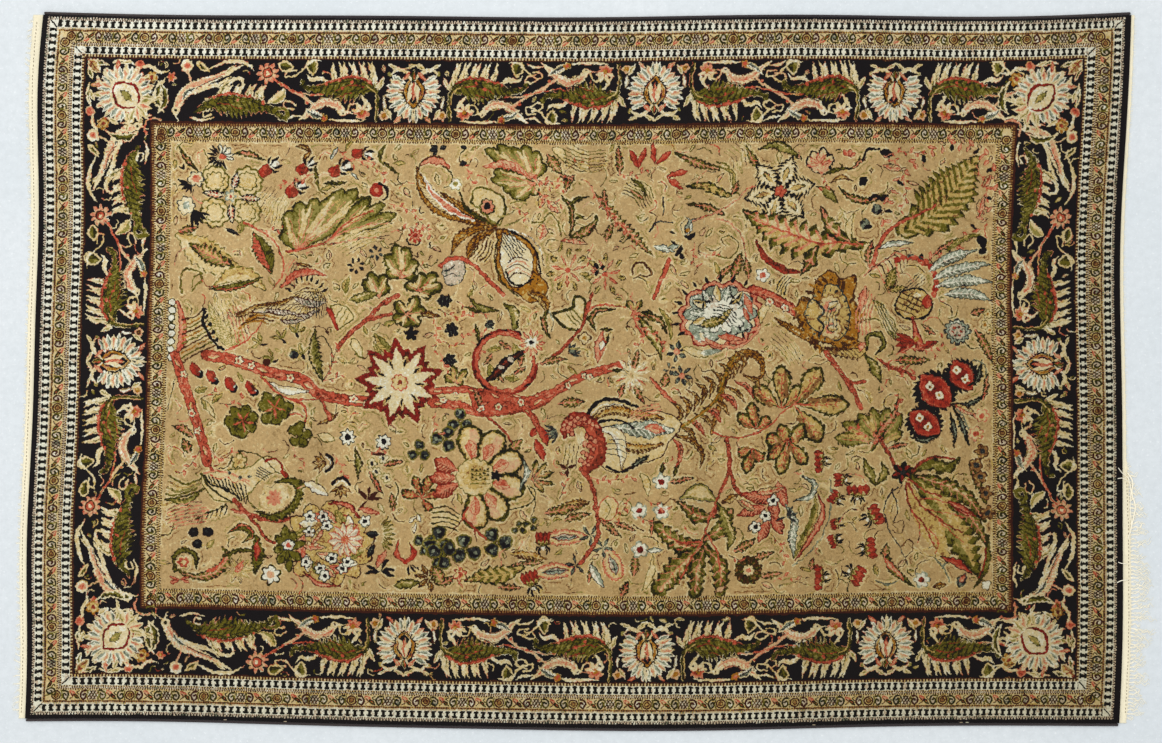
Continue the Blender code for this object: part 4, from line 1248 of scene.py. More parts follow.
    # the spiky dark leaves beside the sky palmette
    fingers(602, 296, (596, 284, 610, 284, 622, 298, 630, 304), 9, "dark")
    ribbon((608, 300, 616, 316, 626, 330, 630, 342), "darkPale", (2, 8, 8, 1), (2, 4, 4, 1))
    ribbon((612, 296, 628, 304, 636, 318), "dark", (2, 5, 1), (2, 4, 1))
    ribbon((628, 292, 638, 306, 640, 322), "sprig", (1, 4, 1))
    pinks((598, 290, 606, 306, 612, 318, 606, 330), (610, 312, 622, 318, 636, 334))
    petals(646, 335, 11, 4.6, ring(6, 20), "bluePetal", 2)
    petals(651, 359, 11, 4.6, ring(6, 44), "bluePetal", 2)
    petals(638, 352, 7, 3.4, ring(4, 20), "bluePetal", 1)
    dots(3, "pink", (646, 335), (651, 359))
    leaves("madder", (513, 420, 22, 9, -66), (502, 416, 10, 8, 60))
    petals(528, 414, 16, 3, (160, 180, 200, 220, 240), "slateDark", 1)
    lines(1, "sage", (518, 402, 528, 398, 540, 400), (516, 408, 528, 404, 538, 406))
    leaves("dark", (540, 386, 28, 13, 4))
    trios(14, (428, 406, 90), (413, 424, 60))
    pinks((404, 396, 402, 410, 408, 420), (438, 412, 442, 424))
    ribbon((444, 434, 448, 424, 458, 420, 468, 430), "dark", (2, 4, 4, 2))
    lines(1.6, "navy", (448, 426, 458, 421, 466, 428))
    lines(1.2, "white", (450, 429, 458, 424, 464, 430))
    leaves("dark", (484, 430, 20, 12, 40))


def palmettesField():
    # the sky-blue palmette with its coral rim, then the brown eared one
    rosette(690, 299, 45, 11, ((1, "crimson", 0.12), (0.96, "pink", 0.14), (0.87, "crimson", 0.14),
        (0.84, "ivory", 0.14)), 8, 0.78)
    rosette(690, 298, 38, 10, ((1, "slate", 0.2), (0.96, "sky", 0.22), (0.72, "slate", 0.3),
        (0.68, "white", 0.32)), 0, 0.76)
    for k in range(7):
        turn = 204 - 26 * k
        leaf(*onArc(690, 297, turn, 24, 20), 18, 9, turn, "skyPlume" if k % 2 else "petalIvory")
    leaves("moss", (684, 306, 30, 14, 12), (694, 300, 24, 8, 40))
    hatch(694, 300, 26, 16, -30, 5, "slate", 3, 1.2)
    leaves("coral", (700, 322, 26, 8, -8), (718, 290, 24, 8, -66), (716, 300, 18, 5, -66))
    for x, y, turn in ((672, 286, 0), (704, 284, 40), (711, 316, 20)):
        petals(x, y, 8, 2.6, ring(4, turn), "navy", 0)
    for k in range(10):
        leaf(*onArc(690, 299, 210 - 17 * k, 46, 37), 9, 3.6, 210 - 17 * k, "navy")
    lines(4.6, "crimson", (676, 324, 690, 330, 706, 331, 720, 324, 729, 312))
    lines(3.2, "pink", (676, 324, 690, 330, 706, 331, 720, 324, 729, 312))
    leaves("outline", (736, 296, 30, 8, 66, 3), (664, 336, 30, 9, -20))
    leaves("sky", (664, 318, 20, 7, -60), (680, 336, 22, 6, 10))
    ribbon((722, 276, 736, 280, 752, 288, 768, 298), "redWide", (7, 6, 6, 4), (3, 6, 7, 5))
    lines(2, "cream", (732, 290, 742, 296, 752, 302))
    bloom(5, 5, "maroon", "ivory", "coral", (739, 287), (755, 293))
    ribbon((744, 304, 762, 316, 780, 326, 792, 336), "goldPlume", (2, 7, 7, 3), (1, 3, 3, 2))
    shape((765, 296, 772, 282, 782, 284, 786, 266, 800, 256, 812, 264, 826, 262, 824, 284, 830, 300,
        828, 322, 822, 338, 800, 330, 782, 324, 772, 312), "ochre", "brown", 1.6)
    for k in range(26):
        turn = 14 * k
        a = np.radians(turn)
        cx, cy = 799 + (29 + 4 * np.cos(4 * a)) * np.cos(a), 301 - 36 * np.sin(a)
        leaf(cx, cy, 11, 4, turn + 26, "brown" if k % 3 else "ochre")
    shape((774, 300, 780, 286, 790, 286, 794, 272, 806, 270, 816, 284, 820, 302, 816, 318, 804, 326,
        790, 318, 780, 312), "straw", "slate", 1.6)
    for k in range(22):
        leaf(*onArc(798, 300, 16.4 * k, 21, 25), 5, 1.6, 16.4 * k, "slate")
    rosette(800, 292, 13, 8, ((1, "tan", 0.2), (0.86, "cream", 0.2), (0.5, "pink", 0.2)))
    rosette(801, 314, 12, 8, ((1, "tan", 0.2), (0.86, "cream", 0.2), (0.5, "pink", 0.2)))
    leaves("petalIvory", (803, 290, 12, 8, 40), (803, 314, 12, 8, -10))
    hatch(803, 303, 20, 14, 80, 4, "slate", 2, 1)
    lines(2.6, "slate", (786, 288, 794, 296, 788, 304, 794, 312, 788, 322))
    ribbon((792, 334, 808, 336, 828, 334), "gold", (1, 4, 8), (2, 8, 14))
    leaves("coral", (832, 332, 12, 7, 60), (833, 283, 28, 9, 76))
    hatch(836, 298, 44, 18, 80, 5, "pink", 2, 1.5)
    for k in range(3):
        leaf(852 + 4 * k, 304 + 2 * k, 46, 5, -64, "outline", bend=2)
    hatch(858, 308, 44, 10, -64, 4, "slate", 0, 0.7)
    shape((866, 290, 872, 278, 886, 273, 898, 279, 903, 292, 894, 303, 878, 304, 868, 298), "straw", "navy",
        2)
    hatch(880, 290, 26, 22, -24, 4, "brown", 0, 1.6)
    hatch(882, 287, 22, 14, 60, 3, "navy", 0, 0.9)
    leaves("madder", (898, 287, 16, 10, 80))
    leaves("ivory", (888, 281, 8, 5, 0))
    ribbon((883, 304, 886, 318, 890, 332), "redWide", (2, 4, 6), (2, 3, 5))
    petals(888, 328, 24, 6, (172, 190, 206, 156), "cup", 0)
    leaves("cup", (900, 330, 18, 7, 16))
    dots(2.4, "ochre", (887, 325))
    leaves("dark", (899, 315, 18, 8, 140), (949, 297, 16, 10, 20), (883, 346, 38, 12, 0),
        (954, 332, 40, 12, -64, 2))
    pinks((866, 340, 882, 334, 900, 336, 916, 330), (902, 336, 908, 344), (846, 344, 860, 350, 880, 362),
        (852, 352, 866, 356, 882, 356), (906, 316, 914, 320))
    rosette(928, 317, 14, 12, ((1, "slate", 0.2), (0.84, "sky", 0.2), (0.7, "slate", 0.2),
        (0.6, "shell", 0.1)))
    for a in ring(6):
        disc(*onArc(928, 317, a, 4.5), 1.6, "rust")
    bloom(5, 5, "olive", "cream", "ochre", (959, 300), (960, 316), (956, 310))
    limb((796, 338, 806, 352, 816, 366, 824, 380, 831, 394), 5.4)
    limb((818, 368, 826, 369, 834, 367), 3.6)
    ribbon((838, 336, 838, 322, 850, 320, 854, 330, 846, 340), "darkPale", (1, 3, 4, 3, 1), (1, 3, 3, 3, 1))
    ribbon((834, 340, 842, 350, 852, 370), "darkPale", (2, 7, 1), (1, 7, 1))
    limb((850, 346, 862, 354, 876, 358, 884, 364), 3.6)
    for x, y, size, turn in ((905, 377, 44, -48), (932, 361, 36, -60), (894, 409, 38, -34)):
        for k in range(20):
            swing = turn + 18 * k
            leaf(*onArc(x, y, swing, size * 0.42, size * 0.4), size * 0.26, size * 0.12, swing + 30, "navy")
        leaf(x, y, size, size * 0.66, turn, "berry", widest=0.52)
        leaf(x, y, size * 0.62, size * 0.34, turn, "crimson")
        bloom(4.4, 4, "ivory", "white", "ochre", (x - 5, y - 5), (x + 4, y + 4))
    for route in ((922, 390, 938, 390, 957, 380), (922, 392, 940, 398, 951, 408),
            (924, 394, 932, 410, 939, 432), (920, 398, 924, 416, 924, 434), (938, 372, 948, 364, 952, 346),
            (880, 424, 896, 426, 910, 420)):
        ribbon(route, "blackFeather", (1, 4, 1), (1, 5, 1))
    leaves("rusty", (936, 397, 26, 8, -26))
    lines(1.6, "grey", (928, 396, 938, 412, 944, 428), (944, 346, 956, 352, 954, 374))
    leaves("dark", (956, 372, 30, 7, 80))
    bloom(8, 6, "pink", "cream", "coral", (946, 420), (952, 402))
    ribbon((682, 416, 690, 382, 698, 352, 712, 338, 728, 342, 732, 356, 724, 368), "goldPlume",
        (4, 4, 4, 5, 5, 4, 1), (1, 3, 3, 6, 6, 4, 1))
    maple(751, 394, (751, 350, 722, 372, 776, 372), 22)
    maple(764, 390, (791, 354, 819, 391, 791, 427), 25)
    maple(726, 415, (720, 387, 707, 399, 739, 402), 15)
    maple(756, 436, (736, 420, 750, 410, 773, 410), 17)
    lines(2.2, "coral", (682, 417, 700, 422, 724, 419, 742, 408, 752, 397, 766, 390, 780, 389))
    fingers(848, 428, (804, 424, 812, 408, 828, 400, 842, 394, 858, 394, 872, 400, 872, 418), 18, "dark")
    ribbon((842, 436, 852, 416, 864, 400, 868, 384), "grapeSlim", (2, 5, 4, 1))
    pinks((840, 434, 852, 414, 866, 398, 868, 380), (838, 430, 828, 416, 820, 412))
    hatch(756, 334, 40, 20, -50, 5, "sage", 2, 0.8)


def middleBird():
    # a bird with a scaly red breast, banded wings and a long curled tail
    for k in range(9):
        x, y = 646 + 8 * k, 408 - 6.4 * k
        ribbon((x, y, x + 4, y - 14, x - 6, y - 22), "plume", (1, 4, 1))
        ribbon((x + 2, y + 2, x + 14, y + 8, x + 20, y + 18), "plumeRed" if k % 2 else "plume", (1, 4, 1))
    lines(4.2, "olive", (640, 416, 664, 402, 684, 384, 694, 360, 704, 342))
    lines(2.2, "ochre", (640, 416, 664, 402, 684, 384, 694, 360, 704, 342))
    ribbon((640, 418, 660, 424, 672, 438, 670, 452), "plume", (1, 4, 4, 1))
    ribbon((640, 420, 650, 434, 646, 450), "plumeRed", (1, 4, 1))
    shape((558, 402, 572, 390, 590, 388, 604, 396, 622, 394, 644, 400, 650, 410, 640, 424, 630, 440,
        612, 446, 600, 450, 584, 456, 570, 448, 566, 426), "cream", "maroon", 1.4)
    ribbon((560, 404, 580, 394, 604, 398, 632, 402), "brownGold", (2, 6, 6, 2), (2, 5, 5, 2))
    hatch(615, 396, 34, 12, 14, 4, "pink", 2, 1.2)
    ribbon((574, 410, 600, 412, 622, 412, 640, 414), "skyPlume", (1, 6, 10, 3), (1, 6, 12, 3))
    leaves("rose", (624, 412, 22, 9, -10))
    ribbon((584, 424, 604, 432, 632, 428), "brownGold", (2, 6, 2))
    ribbon((570, 412, 584, 418, 590, 434, 592, 452), "ivoryEdged", (2, 8, 6, 1), (2, 4, 3, 1))
    hatch(586, 432, 26, 20, -12, 4, "slate", 2, 0.9)
    lines(4.4, "navy", (553, 402, 560, 390, 572, 383, 586, 383, 606, 390))
    lines(2.8, "navy", (564, 406, 580, 403, 594, 406, 603, 412), (576, 450, 588, 455, 600, 452, 608, 446,
        616, 442))
    lines(1.2, "white", (556, 403, 564, 392, 576, 387, 590, 388))
    ribbon((600, 452, 606, 446, 618, 438), "blackFeather", (1, 4, 1), (1, 5, 1))
    ribbon((534, 420, 534, 408, 546, 402, 560, 408, 566, 424, 566, 440, 556, 452), "scaly",
        (3, 6, 8, 8, 9, 10, 6), (3, 6, 8, 9, 10, 10, 6))
    for k in range(11):
        cx, cy = onArc(550, 412, 200 - 28 * k, 14, 9) if k < 7 else (562 - 2 * (k - 6), 414 + 8 * (k - 6))
        for j in (-4, 0, 4):
            rosette(cx + j, cy + j * 0.6, 3.2, 3, ((1, "crimson", 0.2), (0.62, "pink", 0.2)), 90)
    leaves("ivory", (549, 422, 12, 7, 80))
    limb((550, 452, 558, 462, 564, 474, 566, 490, 569, 508, 568, 522, 560, 536, 552, 546), 4.6)
    pinks((560, 462, 580, 464, 602, 460), (530, 482, 536, 466, 532, 450))
    hatch(540, 440, 28, 16, 84, 4, "olive", 0, 0.9)
    petals(537, 452, 9, 4, (30, 150, 270), "maroon", 0)


def nearLeftField():
    leaves("dark", (155, 435, 18, 11, 115))
    limb((176, 448, 182, 462, 180, 476), 4)
    pinks((168, 440, 160, 454, 148, 464), (178, 440, 188, 450, 184, 462), (190, 450, 200, 442, 210, 440))
    for k in range(6):
        route = (174 - 2 * k, 466 + 4 * k, 156 - 3 * k, 474 + 4 * k, 140 - k, 466 + 6 * k)
        stroke(route, 2.2, ("olive", "straw", "sage", "olive", "moss", "straw")[k])
    ribbon((174, 478, 158, 492, 138, 490), "darkPale", (1, 4, 2), (1, 5, 2))
    shape((170, 463, 186, 461, 206, 458, 218, 456, 228, 448, 240, 444, 250, 452, 258, 465, 246, 461,
        236, 464, 226, 474, 216, 486, 200, 492, 184, 488, 174, 476), "cream", "olive", 1.3)
    for k in range(11):
        stroke((174 + 4 * k, 464 + 0.9 * k, 182 + 3.6 * k, 474 + 1.2 * k, 196 + 2 * k, 477 + 1.6 * k), 1.5,
            "black")
    lines(2.2, "pink", (174, 462, 190, 460, 204, 464, 220, 470))
    lines(1, "coral", (180, 464, 188, 468, 196, 466, 204, 471, 212, 469, 220, 474))
    lines(2.6, "moss", (172, 464, 180, 476, 192, 486, 206, 492))
    dots(1.8, "slate", (199, 462), (210, 466), (219, 465))
    hatch(232, 462, 14, 12, -30, 5, "slate", 0, 1.2)
    lines(1.6, "moss", (207, 440, 220, 441, 232, 446, 246, 460, 256, 464))
    lines(1.2, "pink", (188, 448, 200, 441, 214, 444, 216, 454))
    lines(2.6, "crimson", (234, 450, 242, 446, 250, 452, 252, 460))
    leaves("rust", (255, 463, 14, 6, -42))
    bloom(9, 5, "olive", "cream", "straw", (208, 450))
    for k in range(7):
        lines(1.5, "moss", (198 - 4.6 * k, 494 + 2 * k, 190 - 4.6 * k, 498 + 2.2 * k))
        lines(1.5, "black", (198 - 4.6 * k, 494 + 2 * k, 196 - 4.6 * k, 504 + 1.4 * k))
    hatch(158, 506, 44, 24, 14, 7, "pink", 2, 1.4)
    limb((205, 489, 216, 500, 232, 507, 250, 509, 262, 507), 4.4)
    limb((220, 504, 230, 516, 238, 528, 246, 532), 3.4)
    leaves("coral", (210, 501, 20, 5, -14))
    ribbon((246, 471, 262, 470, 268, 480, 262, 494, 246, 504, 226, 500), "spiky", (2, 7, 8, 8, 6, 1),
        (1, 3, 3, 3, 3, 1))
    rosette(245, 486, 14, 8, ((1, "cream", 0.2), (0.6, "pink", 0.4)))
    fingers(268, 476, (276, 470, 284, 470), 8, "dark")
    leaves("ivoryEdged", (287, 476, 28, 10, -28))
    for x, y, turn in ((293, 450, 0), (311, 474, 90)):
        for swing in (-66, -33, 0, 33, 66):
            back = turn + 180 + swing
            leaf(*onArc(x, y, back, 5), 16, 5.4, back, "plume")
        arc = np.radians([turn + t for t in (-75, -40, 0, 40, 75)])
        stroke(np.column_stack([x + 9 * np.cos(arc), y - 9 * np.sin(arc)]), 3, "navy")
        stroke(np.column_stack([x + 6.4 * np.cos(arc), y - 6.4 * np.sin(arc)]), 1.4, "white")
    ribbon((324, 434, 328, 450, 328, 466), "darkHalf", (1, 4, 1), (1, 5, 1))
    leaves("dark", (362, 449, 22, 8, 10), (346, 470, 30, 7, -58), (363, 488, 20, 9, 100))
    lines(1.8, "moss", (366, 470, 368, 480, 362, 496))
    petals(338, 487, 15, 4, (40, 80, 130, 10, 230), "maroon", 0)
    bloom(6, 5, "sage", "ivory", "slate", (341, 450), (356, 464), (352, 444), (346, 458))
    leaves("maroon", (348, 440, 16, 4, 0))
    pinks((302, 442, 310, 452, 314, 464), (262, 436, 268, 446, 276, 452), (334, 436, 344, 438, 356, 436))
    rosette(300, 531, 48, 13, ((1, "maroon", 0.2), (0.96, "straw", 0.2), (0.74, "rust", 0.2),
        (0.7, "straw", 0.2)), 6, 0.92)
    for k in range(16):
        turn = 22.5 * k
        name = ("rusty", "rose", "ivoryEdged", "sprig")[k % 4]
        leaf(*onArc(300, 531, turn, 29, 28), 20, 9, turn + 50, name)
    leaves("rusty", (284, 534, 30, 9, -6), (300, 545, 28, 9, 160), (290, 522, 26, 8, 60))
    bloom(6.6, 5, "slate", "white", "navy", (281, 504), (294, 504), (298, 513), (281, 520), (278, 550),
        (292, 556), (304, 546), (314, 556), (319, 549), (296, 564), (336, 508))
    petals(317, 527, 18, 7.4, ring(12, 10), "daisyRose", 2)
    dots(2.4, "coral", (317, 527))
    ribbon((300, 490, 318, 492, 330, 504), "pinkLoop", (1, 3, 1), (1, 4, 1))
    ribbon((276, 560, 292, 572, 312, 574), "pinkLoop", (1, 3, 1), (1, 4, 1))
    for k in range(9):
        leaf(*onArc(351, 521, 60 - 15 * k, 10, 16), 12, 3, 60 - 15 * k, "sprig")
    leaves("violet", (344, 521, 14, 8, 0), (343, 538, 16, 7, 60))
    leaves("coral", (340, 498, 22, 8, -14), (353, 545, 22, 9, 60))
    fingers(259, 538, (248, 524, 256, 514, 266, 520, 276, 530, 272, 548, 262, 560, 250, 552, 246, 538), 11,
        "mossy")
    bloom(7, 5, "slate", "white", "coral", (260, 534))
    petals(352, 558, 16, 4, (10, -20, 160, 190, 60), "navy", 0)
    ribbon((378, 550, 370, 540, 370, 526), "tulip", (1, 5, 0.5), (1, 1, 0.5))
    ribbon((376, 550, 384, 540, 382, 528), "tulip", (1, 2, 0.5), (1, 5, 0.5))
    petals(379, 549, 14, 2.2, (-30, -50, -80), "navy", 2)
    leaves("ivoryEdged", (384, 505, 12, 5, 30), (386, 514, 14, 5, 80), (390, 504, 10, 5, 120))
    leaves("darkPale", (379, 570, 30, 12, 8))
    petals(401, 563, 15, 7, ring(7, 20), "gold", 1)
    maple(392, 484, (372, 478, 384, 462, 400, 462, 410, 478, 402, 496), 12)
    trios(12, (388, 437, 90), (396, 530, 150), (408, 541, 30))
    dots(5.2, "navy", (166, 522), (180, 522), (170, 534))
    dots(1.4, "slate", (165, 521), (179, 521), (169, 533))
    ribbon((148, 562, 146, 548, 156, 540, 168, 546, 168, 558), "mossy", (2, 3, 3, 3, 2), (2, 4, 4, 4, 2))
    rosette(156, 553, 8, 6, ((1, "cream", 0.2), (0.7, "coral", 0.3), (0.3, "cream", 0)))
    ribbon((146, 560, 168, 568, 188, 562, 200, 546, 194, 536), "grapeSlim", (2, 4, 6, 6, 1), (2, 3, 6, 6, 1))
    lines(2.6, "coral", (180, 562, 190, 556, 198, 546))
    ribbon((196, 546, 212, 540, 224, 540), "mossy", (2, 3, 2))
    ribbon((228, 526, 230, 542, 227, 564), "mossy", (3, 9, 1))
    leaves("madder", (229, 539, 22, 6, 86))
    ribbon((200, 522, 214, 516, 224, 524, 214, 532), "half", (1, 5, 4, 1))
    for k in range(9):
        leaf(*onArc(210, 559, 40 * k, 9), 12, 5, 40 * k, "pale")
    leaves("rose", (212, 556, 14, 7, 50))
    bloom(11, 6, "moss", "white", "blush", (243, 564))
    petals(152, 571, 11, 4, (20, 160, 340, 200), "coral", 0)


def nearMiddleField():
    petals(443, 462, 54, 30, (96, 62, 24, -14, -52, -84), "bigPetal", 10, 0.62)
    petals(443, 462, 38, 12, (96, 62, 24, -14, -52, -84), "rose", 18, 0.62)
    petals(443, 462, 44, 16, (206, 182, 158), "redPetal", 14, 0.6)
    rosette(445, 462, 20, 12, ((1, "olive", 0.1), (0.94, "cream", 0.1), (0.66, "straw", 0.2)))
    for row in range(4):
        hatch(450, 456 + 4 * row, 18, 2, 0, 1, "olive", 0, 0.9)
    for k in range(14):
        disc(442 + 4 * (k % 5), 454 + 4 * (k // 5) + (k % 2), 1.1, "moss")
    petals(466, 460, 6, 4, ring(5), "navy", 0)
    fingers(502, 464, (516, 446, 523, 456, 524, 468, 514, 476, 506, 444), 7, "dark")
    ribbon((490, 474, 496, 458, 492, 442), "skyPlume", (1, 4, 1), (1, 5, 1))
    leaves("madder", (509, 434, 24, 9, -66))
    lines(1.6, "moss", (470, 504, 482, 494, 500, 488, 506, 476, 500, 470), (498, 470, 506, 486, 502, 500))
    trios(8, (490, 513, 90), (502, 508, 60))
    for x, y, row in ((537, 492, 0), (548, 486, 1), (548, 500, 2)):
        leaf(x, y, (46, 26, 30)[row], (14, 8, 10)[row], (14, 6, 14)[row], ("dark", "brownGold", "dark")[row])
    for x, y, length, width, turn in ((537, 521, 44, 18, 3), (527, 555, 42, 18, 6), (584, 548, 34, 22, 110)):
        leaf(x, y, length, width, turn, "seedpod")
        leaf(x, y, length * 0.66, width * 0.42, turn, "podHeart")
    shape((568, 500, 570, 488, 578, 480, 586, 484, 588, 494, 580, 504), "cream", "coral", 1.3)
    lines(1.4, "olive", (588, 498, 598, 498, 602, 488, 594, 482, 588, 490), (576, 484, 580, 494, 576, 502))
    burr(514, 524, 18, 16, 90)
    burr(502, 564, 20, 18, 110)
    for x, y, turn in ((561, 519, 130), (547, 549, 100), (574, 531, 60)):
        petals(x, y, 12, 3.6, ring(5, turn), "bluePetal", 0)
    leaves("dark", (582, 512, 28, 10, -40), (596, 510, 26, 8, -20), (562, 556, 22, 8, 80),
        (652, 464, 28, 7, 8), (623, 510, 20, 7, 80), (606, 548, 24, 12, 84), (596, 572, 18, 10, 60),
        (646, 452, 20, 6, 70), (632, 452, 14, 6, 90), (410, 562, 26, 15, 120), (420, 566, 16, 10, 30))
    leaves("slate", (568, 560, 28, 9, -60), (626, 534, 18, 6, 6))
    leaves("outline", (614, 468, 26, 9, -70, 3), (618, 556, 40, 8, 74, -4))
    bloom(9, 5, "sky", "white", "crimson", (631, 465), (632, 495), (611, 533), (610, 494))
    lines(1.6, "brown", (634, 488, 642, 482, 650, 488), (596, 478, 606, 476), (604, 508, 614, 514))
    pinks((616, 482, 626, 488, 640, 494), (608, 500, 620, 506, 628, 518))
    # the great lobed leaf at the foot
    ribbon((686, 484, 668, 476, 652, 482), "grandPale", (3, 10, 2))
    ribbon((690, 500, 668, 500, 650, 486), "lobedWide", (2, 10, 3))
    ribbon((676, 528, 652, 528, 630, 512), "lobedWide", (4, 12, 8))
    ribbon((672, 532, 650, 550, 632, 572), "lobedWide", (4, 14, 10), (4, 14, 12))
    ribbon((674, 534, 668, 554, 666, 576), "lobedWide", (4, 11, 8))
    ribbon((676, 530, 690, 550, 692, 576), "lobedWide", (4, 11, 6), (4, 11, 8))
    ribbon((676, 524, 692, 512, 700, 496), "lobedWide", (4, 9, 4), (4, 11, 6))
    lines(2, "coral", (686, 486, 678, 508, 672, 526, 660, 546, 650, 566), (676, 516, 688, 536, 690, 556),
        (672, 526, 652, 526, 638, 520))
    leaves("brownGold", (500, 540, 38, 11, -8))
    leaves("dark", (504, 547, 24, 8, 4), (484, 552, 30, 9, 28), (482, 572, 26, 8, 0))
    ribbon((494, 552, 474, 560, 454, 562, 436, 566), "feather", (3, 10, 9, 1), (3, 12, 10, 1))
    trios(16, (410, 527, 90), (437, 535, 100), (468, 527, 120), (414, 540, 40))
    limb((438, 492, 436, 502, 444, 512, 458, 524), 2.4)
    lines(1.8, "rust", (436, 502, 428, 512, 418, 522), (446, 514, 448, 526))
    for k in range(5):
        lines(1.8, "moss", (404, 494 + 5 * k, 416, 492 + 5 * k, 430, 500 + 4 * k))
    bloom(8, 6, "rust", "cream", "coral", (432, 560))
    pinks((426, 548, 434, 556, 430, 572), (600, 480, 594, 494, 586, 504))


